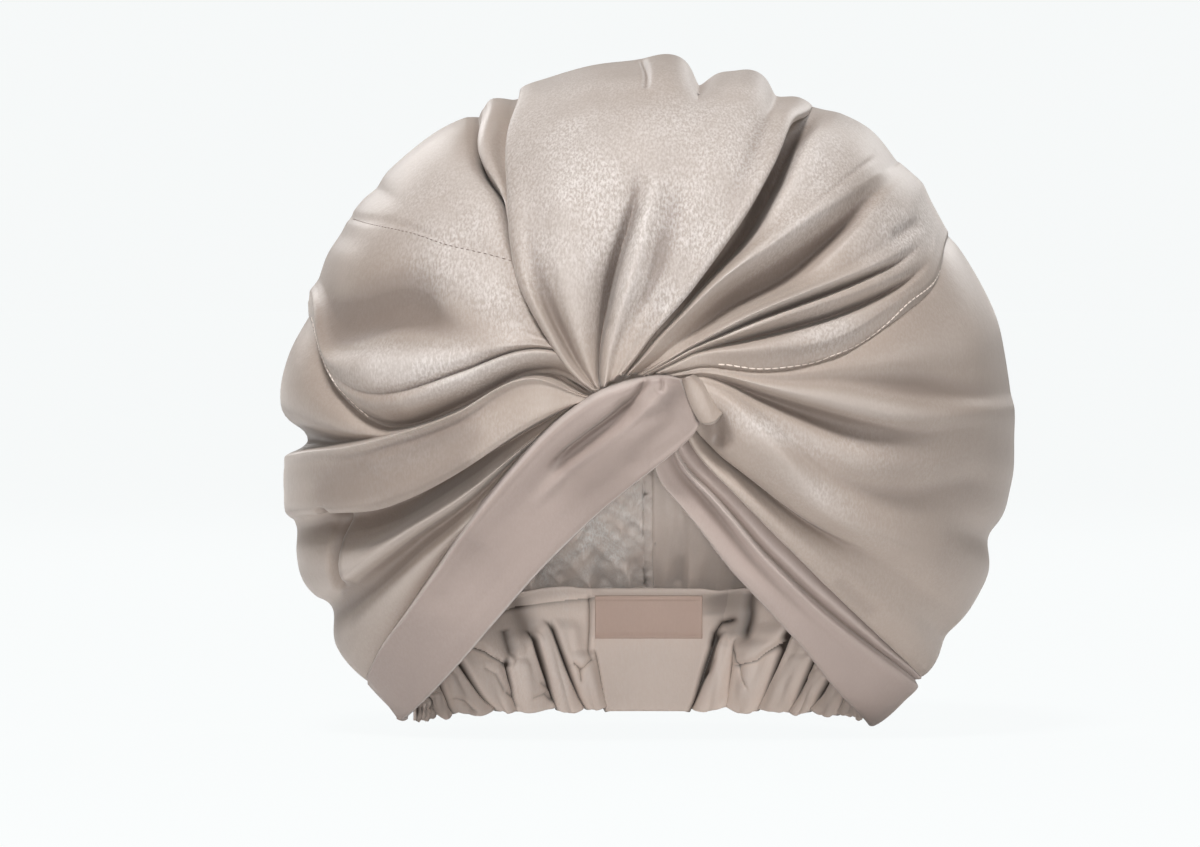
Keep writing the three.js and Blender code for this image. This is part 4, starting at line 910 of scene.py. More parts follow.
# ---- pieces -------------------------------------------------------------------------
MIDDLE = Vector((0, 0.02, 0.11))   # the outer faces look away from here, metres
SAME_POINT = 0.00002


def finish_piece(name, mesh, mat, node):
    obj = bpy.data.objects.new(name, mesh)
    obj.data.materials.append(mat)
    scene.collection.objects.link(obj)
    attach(obj, "root")
    if node:
        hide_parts(node)
    return obj


def smooth_mesh(bm, mesh):
    for f in bm.faces:
        f.smooth = True
    bm.to_mesh(mesh)
    bm.free()


def grid_piece(name, surface, nu, nv, mat, node, painted_glints=None, thick=CLOTH, lining=None):
    """A sheet whose grid is carried on to surface(u, v), faces outwards and has the cloth's thickness."""
    bm = bmesh.new()
    bmesh.ops.create_grid(bm, x_segments=nu, y_segments=nv, size=1)
    mesh = bpy.data.meshes.new(name)
    bm.to_mesh(mesh)
    co = np.empty(len(mesh.vertices) * 3)
    mesh.vertices.foreach_get("co", co)
    co = co.reshape(-1, 3)
    p, facts = surface((co[:, 0] + 1) / 2, (co[:, 1] + 1) / 2)
    bm.verts.ensure_lookup_table()
    # attributes for the material: painted glints, and painted shading, where a negative value is a painted
    # highlight
    painted_glints_layer = bm.verts.layers.float.new("painted_glints")
    painted_shading_layer = bm.verts.layers.float.new("painted_shading")
    painted_shading = facts.get("painted_shading", np.zeros(len(p)))
    glint_amount = painted_glints(p) if painted_glints else np.full(len(p), DULL)
    for vert, place, sunk, shine in zip(bm.verts, p * MM, painted_shading, glint_amount):
        vert.co = place
        vert[painted_shading_layer] = sunk
        vert[painted_glints_layer] = shine
    bmesh.ops.remove_doubles(bm, verts=bm.verts, dist=SAME_POINT)
    bm.normal_update()
    outward = sum(f.normal.dot(f.calc_center_median() - MIDDLE) * f.calc_area() for f in bm.faces)
    if outward < 0:
        bmesh.ops.reverse_faces(bm, faces=bm.faces)
    smooth_mesh(bm, mesh)
    obj = finish_piece(name, mesh, mat, node)
    wall = obj.modifiers.new("wall", "SOLIDIFY")
    wall.thickness = thick * MM
    wall.offset = -1
    if lining:
        obj.data.materials.append(lining)
        wall.material_offset = 1
    return obj


def painted_glint_patches(*patches):
    """Where painted glints and a pale bloom are laid on the satin, in patches of (angle, share, reach across,
    reach along, amount).
    """
    def amount(where):
        x, z = where[:, 0], where[:, 2] - KNOT_Z
        total = np.zeros(len(x))
        for angle, t, wide, tall, value in patches:
            px, pz = mm_of(np.array([float(angle)]), np.array([float(t)]))
            c, s = math.cos(math.radians(angle)), math.sin(math.radians(angle))
            along = (x - px) * c + (z - pz) * s
            across = -(x - px) * s + (z - pz) * c
            total = total + value * np.exp(-(along / tall) ** 2 - (across / wide) ** 2)
        return np.clip(total, 0, 1) * eased(where[:, 1], 60, 0) + 0.12
    return amount


# marks drawn on the front panels: kind, (angle, share) points, height or shade, width; a shade mark is
# painted shade, a negative one a painted highlight
CENTER_MARKS = [
    ("shade", [(70, 0.99), (80, 0.99), (92, 0.99), (108, 0.99)], 0.3, 8),
    ("shade", [(124, 0.23), (110, 0.34), (100, 0.44), (95.4, 0.51)], 0.6, 3.2),
    ("shade", [(87, 0.26), (83, 0.4), (82, 0.52)], 0.25, 4),
    ("fold", [(91, 1.0), (90, 0.93), (90.5, 0.87)], -1.6, 1.2),
    ("fold", [(86, 0.3), (82, 0.45), (84, 0.6)], -0.6, 4),
]
LEFT_SEAM = [(136.5, 0.5), (145, 0.69), (148, 0.82), (150.5, 0.93), (151.5, 1.0)]
LEFT_MARKS = [
    ("seam", LEFT_SEAM, -0.7, 1.0),
    ("shade", [(142, 0.99), (150, 0.99), (158, 0.99), (166, 0.98)], 0.3, 7),
    ("shade", [(177.4, 0.72), (176.6, 0.6), (176, 0.5)], -0.35, 6),
    ("shade", [(170.6, 0.91), (165.6, 0.8), (159.4, 0.7)], 0.62, 9.6),
    ("shade", [(187, 0.8), (186, 0.7)], 0.3, 6),
]
SIDE_LEFT_MARKS = [
    ("fold", [(201, 0.88), (204.5, 0.882), (209, 0.893), (215, 0.925)], -4.4, 1.5),
    ("shade", [(205.6, 0.5), (206.6, 0.68), (207, 0.86)], 0.7, 5.4),
    ("shade", [(202.4, 0.872), (206, 0.872), (210, 0.882), (214.6, 0.905)], 0.7, 1.5),
    ("shade", [(214, 0.9), (215.6, 0.93)], 0.9, 2.2),
    ("shade", [(216, 0.6), (216.6, 0.85)], 0.35, 4),
    ("fold", [(193, 0.45), (195, 0.6), (197, 0.75)], 0.7, 2.5),
    ("shade", [(196, 0.5), (199, 0.68), (199.6, 0.84)], 0.7, 8),
    ("shade", [(184, 0.86), (183.6, 0.93)], 0.2, 10),
]
RIGHT_MARKS = [
    ("fold", [(50, 0.44), (46.5, 0.7), (44, 0.95)], -0.5, 0.9),
    ("dent", [(30, 0.83), (30, 0.9)], -1.3, 2.4),
    ("shade", [(27, 0.99), (36, 0.99), (46, 0.99), (57, 0.99)], 0.3, 9),
]
SIDE_RIGHT_MARKS = [
    ("dent", [(-33.6, 0.195), (-38.6, 0.215)], -5.2, 4.4),
    ("shade", [(-33, 0.19), (-38.4, 0.212)], 1.1, 5.2),
    ("fold", [(-46.5, 0.64), (-46, 0.78)], -1.2, 3.6),
    ("shade", [(-16, 0.72), (-12, 0.86)], 0.22, 16),
    ("shade", [(-30, 0.9), (-20, 0.95)], 0.2, 12),
    ("shade", [(-2, 0.98), (10, 0.98), (22, 0.98)], 0.25, 13),
]

crown_center = grid_piece(
    "cloth_crown_center", panel(CROWN_CENTER, 11, CENTER_MARKS), 230, 170, SATIN, "crown_center",
    painted_glint_patches((72, 0.72, 22, 38, 1.0), (84, 0.5, 18, 32, 0.8), (106, 0.68, 30, 36, 1.0),
            (75, 0.3, 9, 14, 0.7), (124, 0.46, 13, 24, 0.7)))
crown_left = grid_piece(
    "cloth_crown_left", panel(CROWN_LEFT, 12, LEFT_MARKS), 230, 160, SATIN, "crown_left",
    painted_glint_patches((177, 0.63, 8, 26, 1.0), (152, 0.55, 10, 24, 0.7), (141, 0.76, 17, 24, 0.8),
            (172, 0.5, 8, 16, 0.5)))
side_left = grid_piece(
    "cloth_side_left", panel(SIDE_LEFT, 13, SIDE_LEFT_MARKS, wave=0.6), 240, 160, SATIN, "side_left",
    painted_glint_patches((197, 0.6, 8, 30, 0.2)))
crown_right = grid_piece(
    "cloth_crown_right", panel(CROWN_RIGHT, 14, RIGHT_MARKS, wave=0.5, depth=1.25), 260, 160, SATIN,
    "crown_right",
    painted_glint_patches((52, 0.82, 11, 24, 1.0), (31, 0.88, 12, 20, 1.0), (16, 0.55, 7, 18, 0.6), (45, 0.6, 6, 24, 0.4)))
side_right = grid_piece(
    "cloth_side_right", panel(SIDE_RIGHT, 15, SIDE_RIGHT_MARKS, wave=1.0), 240, 160, SATIN,
    "side_right",
    painted_glint_patches((-22, 0.34, 3.6, 16, 0.9), (-33, 0.5, 4.6, 13, 0.6), (-17, 0.62, 8, 20, 0.2)))
band_right = grid_piece(
    "cloth_band_right", panel(BAND_RIGHT, 16, wave=0.35), 110, 150, BAND, "band_right")


# ---- crossing band --------------------------------------------------------------------
# sections from the knot to the lower corner: upper edge x, z, lower edge x, z, lift
BAND_LEFT = [
    (11.8, 130, 18.9, 114.4, 2.6), (7, 131.3, 15.4, 110, 4.2), (0.5, 131.2, 8.4, 104, 5.4),
    (-10.5, 128.8, 1.2, 98, 5.6), (-22, 123.6, -7, 91.2, 5.2), (-38.6, 110.6, -19.5, 80.2, 4.6),
    (-61.5, 84, -38, 61.5, 4.2), (-77, 61.4, -53, 44, 4.0), (-89, 44, -67.5, 26.5, 3.0),
    (-98, 31.5, -80, 12.5, 2.0), (-103.6, 20.4, -90.5, 2, 1.4),
]
# height across the band at the same sections: upper roll, behind it, dent side, middle, lower face
BAND_SWELL = [
    (0.4, 0.2, 0.2, 0.2, 0.2), (1.2, 1.0, 0.6, 0.8, 0.4), (1.4, 1.2, 0.6, 1.2, 0.4),
    (1.6, 1.2, 0.2, 1.8, 0.6), (1.6, 1.4, 0, 1.8, 0.8), (1.4, 1.2, 0.2, 1.8, 1), (1.0, 1.0, 1.0, 1.4, 1.0),
    (0.9, 0.9, 1.2, 1.2, 0.9), (0.8, 0.9, 1.0, 1.0, 0.9), (0.8, 0.8, 0.8, 0.8, 0.8),
    (0.6, 0.6, 0.6, 0.6, 0.6),
]
# creases and ridges pressed in the band by the knot, with painted shade along them and in broad fields, where
# a negative shade is a painted highlight: (x, z) points, depth, width, shade
BAND_LINES = [
    ([(0.6, 131.4), (-2.3, 127.5), (-6.4, 123), (-13, 117.8), (-20.6, 112.5), (-28.9, 106.1), (-38, 98)],
     -2.0, 1.1, 0.75),
    ([(-3, 125), (-12, 116), (-20.6, 109.6), (-28.9, 103.4), (-36, 96.5)], -1.8, 3.4, 0.5),
    ([(10.1, 130.5), (2.6, 123), (-12.4, 112.1), (-28.9, 99.8), (-44, 83)], 1.7, 2.6, -0.35),
    ([(4.9, 131.5), (4.7, 127.6), (4, 126)], -0.8, 0.8, 0.4),
    ([(15, 127), (8, 117), (-2, 106), (-10, 97)], -0.9, 4.0, 0.12),
    ([(-60, 74), (-68, 60), (-78, 46)], -0.8, 5, 0.1),
    ([(18, 134), (10, 124), (0, 111), (-16, 98), (-34, 84)], 0, 13, 0.5),
    ([(-10, 118), (-45, 84), (-70, 54)], 0, 18, 0.24),
]
BAND_STOPS = (0, 0.04, 0.12, 0.2, 0.36, 0.6, 0.9, 0.975, 1.0)   # shares across, for the heights
BAND_CRISP = (0, 0.2, 0, 0, 0, 0, 0, 0, 0)
BAND_WIDTH = 26
# the band goes on round the lower corner: angles of its two edges, first and last turn, height
CORNER_WRAP = ((227.2, 234.6), 88.0, 112.0, 1.2)


def crossing_band(u, v):
    stops = np.linspace(0, 1, len(BAND_LEFT) + 1)
    stops, main = stops[:-1], stops[-2]
    q = np.minimum(v, main)
    upper_x, upper_z, lower_x, lower_z, rise = [spline(stops, column, q) for column in zip(*BAND_LEFT)]
    swell = [rise + spline(stops, column, q) for column in zip(*BAND_SWELL)]
    first = rise + spline(stops, [row[0] for row in BAND_SWELL], q) * 0.6
    heights = np.stack([rise * 0 - 0.6, first] + swell + [rise + 0.2, rise - 1.6])
    across = np.array(BAND_STOPS)
    gaps = np.repeat(np.diff(across)[:, None] * BAND_WIDTH, len(u), axis=1)
    index = np.clip(np.searchsorted(across, u, side="right") - 1, 0, len(across) - 2)
    f = (u - across[index]) / (across[index + 1] - across[index])
    x = upper_x + (lower_x - upper_x) * u
    z = upper_z + (lower_z - upper_z) * u
    pressed, shade = pressed_lines(x, z, BAND_LINES)
    start = eased(v, 0.03, 0)
    lift = hermite_rows(heights, gaps, BAND_CRISP, index, f) - 2.2 * start
    lift = lift + 0.3 * between(u, 0.2, 0.2) * ripples(21, 60 * u, 2 * v) + pressed
    # a painted highlight along both long edges, and painted shade where the band starts under the knot
    painted_edge_highlight = -0.8 * bell(u - 0.985, 0.012) - 0.6 * bell(u - 0.03, 0.02)
    painted_end_shade = 0.5 * eased(v, 0.02, 0)
    # round the lower corner
    w = np.clip((v - main) / (1 - main), 0, 1)
    (upper, lower), first_turn, last_turn, height = CORNER_WRAP
    angle = upper + (lower - upper) * u
    turn = np.where(w > 0.5, first_turn + (last_turn - first_turn) * (w - 0.5) * 2, first_turn)
    rolled = 2.4 * eased(u, 0.9, 1) + 2.4 * eased(u, 0.05, 0) + 3.2 * eased(w, 0.6, 1)
    wrap = dome(angle, turn) + dome_normal(angle, np.minimum(turn, 100)) * (height - rolled)[:, None]
    blend = smooth(w * 2)
    p = on_dome(x, z, lift) * (1 - blend)[:, None] + wrap * blend[:, None]
    return p, {"painted_shading": (shade + painted_end_shade) * (1 - blend) + painted_edge_highlight}


band_left = grid_piece("cloth_band_left", crossing_band, 90, 230, BAND, "band_left")

# the short tail of cloth beside the knot: middle x, z, half width, lift
KNOT_TAIL = [
    (14.4, 131.0, 2.6, 0.6), (17.6, 127.0, 4.4, 1.6), (20.2, 122.0, 5.0, 2.4), (22.2, 118.0, 4.7, 2.9),
    (23.2, 115.2, 3.9, 3.0),
]


def knot_tail(u, v):
    stops = np.linspace(0, 1, len(KNOT_TAIL))
    middle_x, middle_z, half, lift = [spline(stops, column, v) for column in zip(*KNOT_TAIL)]
    across = 2 * u - 1
    turned = 3.0 * (1 - 0.6 * eased(v, 0.6, 0.9)) * eased(across, 0.1, 1)
    arch = 1.2 - 1.4 * np.abs(across + 0.2) ** 2.4 - turned
    curl = 3.4 * eased(v, 0.84, 1)
    x = middle_x + half * across
    z = middle_z + 0.34 * half * across - 1.4 * v * (1 - across ** 2)
    # painted shade, darker next to the band and near the knot, and a painted highlight along the curled tip
    shade = 0.15 + 0.6 * eased(u, 0.45, 0) + 0.4 * eased(v, 0.2, 0)
    return on_dome(x, z, lift + arch - curl), {"painted_shading": shade - 0.3 * bell(v - 0.97, 0.03)}


knot_tail_piece = grid_piece("cloth_knot_tail", knot_tail, 48, 48, SATIN, None)


# ---- back bag ---------------------------------------------------------------------------
HIGH_SHARE = 0.42     # this much of each half lies above the knot's height
STEP = 1.5            # for the outward direction of the lower part


def back_surface(side):
    """One half of the back bag: u runs from the centre back seam to the front pieces, v downwards."""
    corner = RIGHT_CORNER + 2.8 if side > 0 else LEFT_CORNER - 3.2
    level = 0.0 if side > 0 else 180.0
    seam_x = SEAM_X - side * 0.7
    seam_top = KNOT_Z + float(outline(np.array(90.0), 0)) * (BACK_SEAM + 0.012)
    seam_sink = 0.9 if side > 0 else 0.3
    start = 90 - side * 1.6

    def lap(u, turn, deep):
        """How far the edge sinks under the front pieces."""
        near_side, near_top = eased(u, 0.58, 0.88), eased(turn, SEAM_TURN + 13, SEAM_TURN + 5)
        return (1.6 + deep) * np.maximum(near_side, near_top)

    def rim(angle, edge):
        r = outline(angle, 0) * sind(edge) ** (2 / BACK_POWER)
        return r * cosd(angle), KNOT_Z + r * sind(angle)

    def high(u, v):
        angle = start + (level - start) * v
        edge = back_end(angle) - 2.2
        ax, az = rim(angle, edge)
        ax = side * np.maximum(side * ax, side * seam_x)
        sz = seam_top + (KNOT_Z - seam_top) * (1 - np.cos(np.pi * v / 2))
        reach = np.radians(180 - edge)
        w = np.where(v > 0, (np.sin(reach * u) / np.sin(reach)) ** (2 / BACK_POWER), 0)
        x, z = seam_x + (ax - seam_x) * w, sz + (az - sz) * w - KNOT_Z
        at = angle_of(x, z)
        turn = np.clip(back_turn(np.hypot(x, z) / outline(at, 0)), 91, 179)
        under = lap(u, turn, 1.6 * bell(at - 57, 9))
        return dome(at, turn), dome_normal(at, np.minimum(turn, 177)), under

    def point(th, z, rolled):
        """A place on the lower part, rolled in towards the nape hem."""
        s = np.clip((z - hem_at(th)) / HEM_ROLL, 0, 1)
        g = 1 - rolled * (1 - np.sqrt(1 - (1 - s) ** 2))
        bx, by = level_slice(side, th, z)
        nx, ny = nape_at(th, HEM_OUT * eased(th, -4, 16))
        return np.stack([side * (nx + (bx - nx) * g), ny + (by - ny) * g, z], axis=-1)

    def low_rim(v):
        angle = level + (corner - level) * v
        edge = np.maximum(90.6, back_end(angle) - 2.2)
        return angle, edge, *rim(angle, edge)

    lowest = float(low_rim(np.array(1.0))[3])

    def low(u, v):
        angle, edge, ex, ez = low_rim(v)
        th0 = slice_turn(side, ex, ez)
        rim_fall, seam_fall = (KNOT_Z - ez) / (KNOT_Z - hem_at(th0)), (KNOT_Z - ez) / (KNOT_Z - lowest)
        zs = KNOT_Z - (KNOT_Z - CASING_TOP) * seam_fall
        th1 = np.degrees(np.arccos((abs(seam_x) / level_slice(side, 0, zs)[0]) ** (BACK_POWER / 2)))
        far = th1 if side * seam_x > 0 else 180 - th1
        th = np.minimum(89.999, th0 + (far - th0) * (1 - u))
        fall = rim_fall + (seam_fall - rim_fall) * eased(th, th0, th0 + 22)
        z = KNOT_Z - (KNOT_Z - hem_at(th)) * fall
        rolled = eased(th, th0, th0 + 14)
        p = point(th, z, rolled)
        p[:, 0] = np.where(u <= 0, seam_x, p[:, 0])
        a = point(np.minimum(89.9, th + STEP), z, rolled) - point(np.maximum(0.1, th - STEP), z, rolled)
        b = point(th, z + STEP, rolled) - point(th, np.maximum(z - STEP, hem_at(th) + 0.01), rolled)
        w = eased(u, 0.86, 0.94)[:, None]
        n = side * unit(np.cross(a, b)) * (1 - w) + dome_normal(angle, np.maximum(edge, 93)) * w
        deep = 0.4 + 1.3 * eased(v, 0.35, 0.65) + 1.2 * eased(v, 0.8, 0.9)
        return p, n, lap(u, 180.0, deep) * np.where(u > 0.9, 1, eased(v, 1, 0.98))

    def surface(u, v):
        p, n, under = np.zeros((len(u), 3)), np.zeros((len(u), 3)), np.zeros(len(u))
        top = v < HIGH_SHARE
        fall = (v - HIGH_SHARE) / (1 - HIGH_SHARE)
        p[top], n[top], under[top] = high(u[top], v[top] / HIGH_SHARE)
        p[~top], n[~top], under[~top] = low(u[~top], 1 - (1 - fall[~top]) ** 1.25)
        # gathers above the nape hem, long soft drags and a crinkled field inside
        fall = np.where(top, 0, fall)
        x, z = p[:, 0], p[:, 2]
        gather = eased(fall, 0.15, 0.75) * eased(fall, 1, 0.97)
        gather = gather * eased(u, 0.9, 0.65) * eased(u, 0, 0.04)
        gather = gather * (1 - 0.7 * eased(z, 50, 60) * eased(np.abs(x), 60, 45))
        bend = x + 5 * np.sin(z * 0.04 + 2 * side) + 3.5 * np.sin(x * 0.11)
        pull = 2.0 * np.sin(bend * 0.42) + 1.1 * np.sin(bend * 0.77 + 1.3) + 0.5 * np.sin(bend * 1.3 + 0.4)
        drag = (np.sin(x * 0.052 + z * 0.028 * side + 1.0) + 0.7 * np.sin(z * 0.071 - x * 0.021 + 2.0)
                + 0.5 * np.sin(x * 0.09 - z * 0.05 + side))
        keep = eased(u, 0, 0.12) * eased(u, 0.8, 0.6) * eased(v, 0.1, 0.25)
        puff = 2.2 * eased(u, 0, 0.1) * eased(u, 0.75, 0.45) * eased(v, 0.96, 0.76)
        h = gather * pull + 1.2 * keep * drag + 0.4 * puff - seam_sink * bell(u, 0.03)
        if side < 0:
            crinkle = ripples(31, x * 2.0, z * 0.16, 14) * 2.0 + ripples(32, z * 2.4, x * 0.12, 14) * 2.2
            h = h + 0.75 * crinkle * eased(u, 0.5, 0.3) * eased(fall, 0.15, 0.35)
        return p + n * (h - under)[:, None], {}

    return surface


def crinkled(where):
    """Painted glints on the crinkled field that shows through the face opening."""
    x, z = where[:, 0], where[:, 2]
    patchy = 0.55 + 0.45 * np.sin(x * 0.31 + 2 * np.sin(z * 0.17)) * np.sin(z * 0.26 + 1.3 * np.sin(x * 0.13))
    field = np.exp(-((x + 24) / 26) ** 4 - ((z - 68) / 30) ** 4) * 1.4 * patchy
    return np.clip(field, 0, 1) * (where[:, 1] > 50) + DULL


back_left = grid_piece("cloth_back_left", back_surface(-1), 150, 210, PLAIN, "back_left",
                       crinkled, lining=INSIDE_PAINTED_LIGHTER)
back_right = grid_piece("cloth_back_right", back_surface(1), 150, 210, PLAIN, "back_right",
                        lining=INSIDE_PAINTED_LIGHTER)


# ---- ruched nape casing -------------------------------------------------------------------
CASING_START = 3        # degrees round the nape where the casing begins
CASING_END = 7.8        # height of the casing at its two ends
CASING_RISE = 1.2       # the casing stands this far above the bag hem
NAPE_HALF = 150         # about half the length of the nape curve
GATHER_DEPTH = 3.6
GAP_DEPTH = 1.8
# the gaps between neighbouring gathers: x at the foot and at the head, height of the head, width
NAPE_GAPS = [
    (-80, -84, 10, 1.8), (-73, -79, 14, 2.6), (-57, -72, 21, 2.8), (-49.5, -54, 18, 2.6),
    (-34, -43, 27, 4.2), (-23, -36, 31, 4.0), (-15, -19, 20, 1.6), (17, 27, 27, 5.0), (31, 34, 24, 1.8),
    (42.5, 55, 30, 3.4), (54.5, 64, 20, 2.4), (62, 70, 14, 2.4), (72, 77, 11, 2), (79.5, 83, 9, 1.6),
]
SMOOTH_AFTER = -15      # the casing is smooth beyond this gap, under the label
END_GAPS = (0.8, 0.85, 0.9, 0.95)   # share of the way round to the corner
END_GAP_LEAN, END_GAP_HEIGHT, END_GAP_WIDTH = 0.015, 7, 1.4
# flaps of cloth that lap over the gathers, with a painted shadow just below: (x, z) points, depth, width,
# shade
NAPE_LAPS = [
    ([(-72, 29), (-62, 24.5), (-53, 16.5)], 2.2, 9, 1.0),
    ([(34, 18), (44, 20.6), (51, 26), (59, 33)], 2.4, 9, 1.0),
    ([(-64, 37), (-50, 40.5), (-34, 42.5), (-16, 44)], 1.2, 5, 0.5),
]
# fields of painted shade, and creases pressed in the casing, the same way
NAPE_SHADES = [
    ([(31, 48), (34, 38), (36, 26)], 0.3, 8, 0.5),
    ([(-62, 40), (-54, 32), (-47, 22)], 0.3, 8, 0.4),
    ([(24, 46), (25, 36)], 0, 5, 0.25),
]
# creases pressed in the casing, with painted shade along them: (x, z) points, depth, width, shade
NAPE_LINES = [
    ([(-49, 46), (-47, 38), (-42, 28)], 2.4, 4.6, 0.55),
    ([(-54, 33), (-53, 27), (-51.5, 20)], 2.2, 2.3, 0.5),
    ([(-21.4, 46), (-21.6, 32), (-22.6, 18)], 1.2, 0.9, 0.8),
    ([(-29, 19.5), (-26, 17), (-25, 10)], 1.2, 0.9, 0.8),
    ([(-27, 15), (-23, 18.6), (-20.4, 20)], 1.0, 0.8, 0.7),
    ([(24.8, 24), (26, 30), (29, 34), (36, 36)], 2.0, 1.2, 0.9),
    ([(39, 48), (39.8, 38), (38, 24)], 2.2, 2.6, 0.6),
    ([(33, 27), (36, 22), (38, 14), (41, 8)], 1.2, 0.8, 0.8),
    ([(-64, 19), (-59, 15), (-55, 6)], 1.0, 0.9, 0.6),
    ([(-75, 8), (-69, 4.4), (-64, 0.6)], 0.9, 0.8, 0.6),
    ([(-43, 12), (-38, 7.4), (-34, 2)], 0.9, 0.9, 0.6),
    ([(-46, 6), (-40, 6.4), (-35.6, 1.5)], 1.0, 0.8, 0.7),
    ([(-56, 8), (-51.6, 5), (-49, 1)], 0.9, 0.8, 0.7),
    ([(-86, 6), (-82, 3), (-78, 0)], 0.8, 0.8, 0.6),
    ([(63, 14), (60.6, 8), (56, 3)], 0.8, 0.9, 0.6),
    ([(20, 9), (26, 15), (29, 22)], 0.8, 0.8, 0.5),
]


def nape_turn(x):
    """Degrees round the nape for a distance across: 0 at a corner and 90 at the centre back."""
    return np.degrees(np.arccos((np.abs(x) / CORNER_X) ** (NAPE_POWER / 2)))


def share_of(x):
    """Place round the nape, -1 at the left corner and 1 at the right one, for a distance across."""
    return math.copysign((90 - nape_turn(x)) / (90 - CASING_START), x)


def casing_top(th):
    high = CASING_TOP + CASING_RISE
    return high - (high - CASING_END) * eased(th, 45, 15)


def nape_point(side, th, off, z):
    """A place round the nape, that far off its curve."""
    x0, y0 = nape_at(np.maximum(0.2, th - 0.4))
    x1, y1 = nape_at(np.minimum(90, th + 0.4))
    x, y = nape_at(th)
    length = np.hypot(x1 - x0, y1 - y0)
    return np.stack([side * (x + (y1 - y0) / length * off), y - (x1 - x0) / length * off, z], axis=-1)


def all_gaps():
    gaps = [(share_of(foot), share_of(head), tall, width) for foot, head, tall, width in NAPE_GAPS]
    for side in (-1, 1):
        for share in END_GAPS:
            gaps.append((side * share, side * (share + END_GAP_LEAN), END_GAP_HEIGHT, END_GAP_WIDTH))
    return sorted(gaps)


def laps(x, z):
    """Height and painted shadow of the flaps, which stand out above their line and are painted darker just
    below it, as shadow.
    """
    height, shade = np.zeros(len(x)), np.zeros(len(x))
    for points, step, reach, dark in NAPE_LAPS:
        gap, share = near_path(x, z, points)
        above = z - np.interp(x, *zip(*points))
        ends = between(share, 0.1, 0.1)
        height = height + step * np.where(above > 0, bell(gap, reach) * eased(above, 0, 1.5), 0) * ends
        shade = shade + dark * np.where(above <= 0, bell(gap, 1.3), 0) * ends
    return height, shade


def ruched(u, v):
    """The casing: u runs round the nape from left to right, v upwards."""
    s = -1 + 2 * u
    round_to = np.abs(s)
    th = 90 - (90 - CASING_START) * round_to
    x = np.sign(s) * nape_at(th)[0]
    wavy = 0.8 * np.sin(0.17 * x + 0.6) * eased(np.abs(x), 20, 28) * eased(th, 45, 55)
    z = v * (casing_top(th) + wavy)
    turned = eased(round_to, 0.32, 0.62)
    # the nearest gap to either side
    count = len(u)
    left, right = np.full(count, 1e3), np.full(count, 1e3)
    left_here, right_here, calm, gap = np.ones(count), np.ones(count), np.ones(count), np.zeros(count)
    for foot, head, tall, width in all_gaps():
        at = foot + (head - foot) * np.clip(z / tall, 0, 1.5) ** 0.85
        d = (s - at) * NAPE_HALF
        here = 1 - smooth((z - tall) / (0.12 * tall + 1.5))
        half = width / 2 * (0.6 + 0.55 * smooth(z / (0.7 * tall))) * (1 + 1.1 * turned)
        gap = np.maximum(gap, here * bell(d, half, 6))
        to_left, to_right = (d >= 0) & (d < left), (d < 0) & (-d < right)
        left, left_here = np.where(to_left, d, left), np.where(to_left, here, left_here)
        calm = np.where(to_left, float(abs(foot - share_of(SMOOTH_AFTER)) > 0.001), calm)
        right, right_here = np.where(to_right, -d, right), np.where(to_right, here, right_here)
    f = left / (left + right)
    full = np.sin(np.pi * f) ** 0.7
    here = (left_here * right + right_here * left) / (left + right)
    swell = here * calm * (0.35 + 0.65 * eased(v, 0, 0.22)) * (1 - 0.5 * eased(round_to, 0.85, 0.95))
    gathers = (GATHER_DEPTH - 1.9 * turned) * swell * full
    sunk = GAP_DEPTH * gap * (1 - 0.8 * eased(round_to, 0.68, 0.8))
    wrinkle = (0.35 * np.sin(9 * f + 5 * v + 20 * s) + 0.2 * np.sin(17 * f - 7 * v)) * full * calm * here
    tilt = 2.7 * eased(v, 0.8, 1) * eased(th, 40, 70)
    ends = 0.6 + 0.9 * eased(th, 30, 10)
    pressed, shade = pressed_lines(x, z, NAPE_LINES + NAPE_SHADES)
    lapped, lap_shade = laps(x, z)
    off = 1.0 - ends + tilt - gathers + sunk + wrinkle + pressed - lapped
    hem = (1 - v) ** 2 * (1.8 * (1 - full) * calm + 0.6 * calm * np.sin(40 * s))
    # painted shade in the gaps, under the flaps, on the gathers' sides and a little over the smooth part, and
    # a painted highlight on the gathers' crowns
    shade = shade + lap_shade + 1.0 * gap + 0.3 * swell * (1 - full) - 0.3 * swell * full + 0.1 * (1 - calm)
    return nape_point(np.where(s < 0, -1.0, 1.0), th, off, np.maximum(z + hem, -0.6)), {"painted_shading": shade}


# painted glints and a paler colour over the casing, more on its left part
casing = grid_piece("cloth_nape_casing", ruched, 740, 64, CASING, "nape_casing",
                    lambda where: 0.25 + 0.3 * (np.abs(where[:, 0] + 52) < 22))

LABEL_THICK = 0.6
LABEL_OFF = -3.6        # the ribbon lies this far inside the nape curve


def woven_label(u, v):
    low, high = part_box("label")
    x = (low[0] + (high[0] - low[0]) * u) / MM
    z = (low[2] + (high[2] - low[2]) * v) / MM
    bow = 0.35 * np.sin(np.pi * u) * np.sin(np.pi * v) - 0.25 * bell(np.minimum(u, 1 - u), 0.03)
    hem = 0.3 * bell(np.minimum(v, 1 - v) - 0.09, 0.02)
    return nape_point(np.where(x < 0, -1.0, 1.0), nape_turn(x), LABEL_OFF - bow + hem, z), {}


label = grid_piece("ribbon_label", woven_label, 88, 34, LABEL, "label", thick=LABEL_THICK)


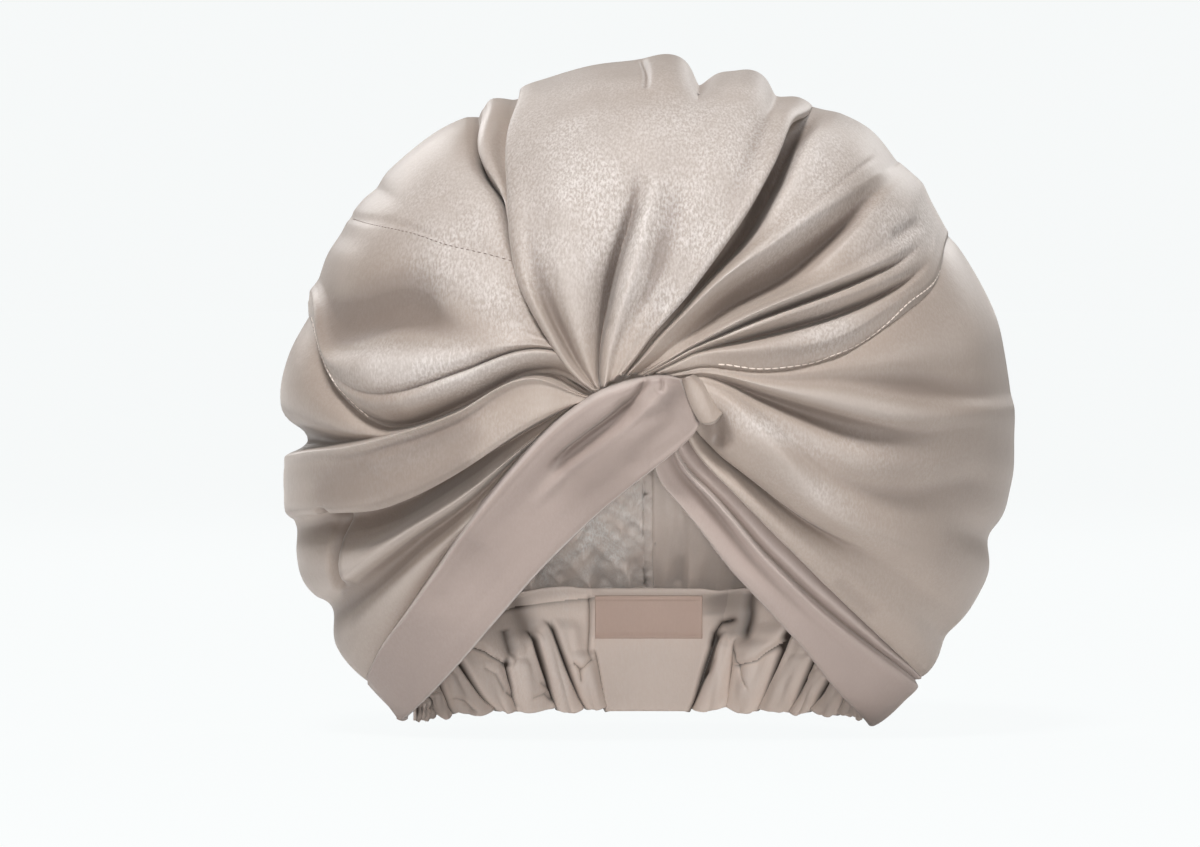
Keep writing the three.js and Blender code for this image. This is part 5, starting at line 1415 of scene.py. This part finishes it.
# ---- stitches -----------------------------------------------------------------------------
def stitches(name, places, length, space, radius, mat):
    """Short thread stitches along a line of points in millimetres."""
    step = np.linalg.norm(np.diff(places, axis=0), axis=1)
    walk = np.concatenate([[0], np.cumsum(step)])
    bm = bmesh.new()
    d = space / 2
    while d + length < walk[-1]:
        a, b = [np.array([np.interp(at, walk, column) for column in places.T]) for at in (d, d + length)]
        axis = Vector((b - a) * MM)
        turn = axis.to_track_quat("Z", "Y").to_matrix().to_4x4()
        scale = Matrix.Diagonal((radius * MM, radius * MM, axis.length / 2, 1))
        place = Matrix.Translation(Vector((a + b) / 2 * MM)) @ turn @ scale
        made = bmesh.ops.create_uvsphere(bm, u_segments=6, v_segments=4, radius=1)
        bmesh.ops.transform(bm, matrix=place, verts=made["verts"])
        d += length + space
    mesh = bpy.data.meshes.new(name)
    smooth_mesh(bm, mesh)
    finish_piece(name, mesh, mat, None)


THREAD_LIFT = 0.1


def laid_on(obj, points, count):
    """Drops a front-view line through (angle, share) points on to a piece, from the front."""
    mesh = obj.data
    tree = BVHTree.FromPolygons([v.co[:] for v in mesh.vertices], [p.vertices[:] for p in mesh.polygons])
    places = []
    for x, z in line_of(points, count):
        hit = tree.ray_cast(Vector((x * MM, -0.3, (z + KNOT_Z) * MM)), Vector((0, 1, 0)))[0]
        if hit is not None:
            places.append(np.array(hit) / MM - np.array([0, THREAD_LIFT, 0]))
    return np.array(places)


RIGHT_SEAM = [
    (14, 0.2), (6.6, 0.3), (6.2, 0.44), (7.8, 0.51), (10, 0.6), (13.6, 0.7), (16.6, 0.78), (19, 0.88),
    (24, 0.965),
]
CURVED_SEAM = [(169.5, 0.975), (173, 0.945), (177.5, 0.9), (181, 0.86), (185, 0.8), (188, 0.755)]
stitches("stitches_left_seam", laid_on(crown_left, LEFT_SEAM, 160), 1.6, 0.8, 0.2, DARK_THREAD)
stitches("stitches_curved_seam", laid_on(crown_left, CURVED_SEAM, 160), 2.6, 0.15, 0.34, THREAD)
stitches("stitches_right_seam", laid_on(crown_right, RIGHT_SEAM, 220), 2.6, 0.25, 0.28, THREAD)
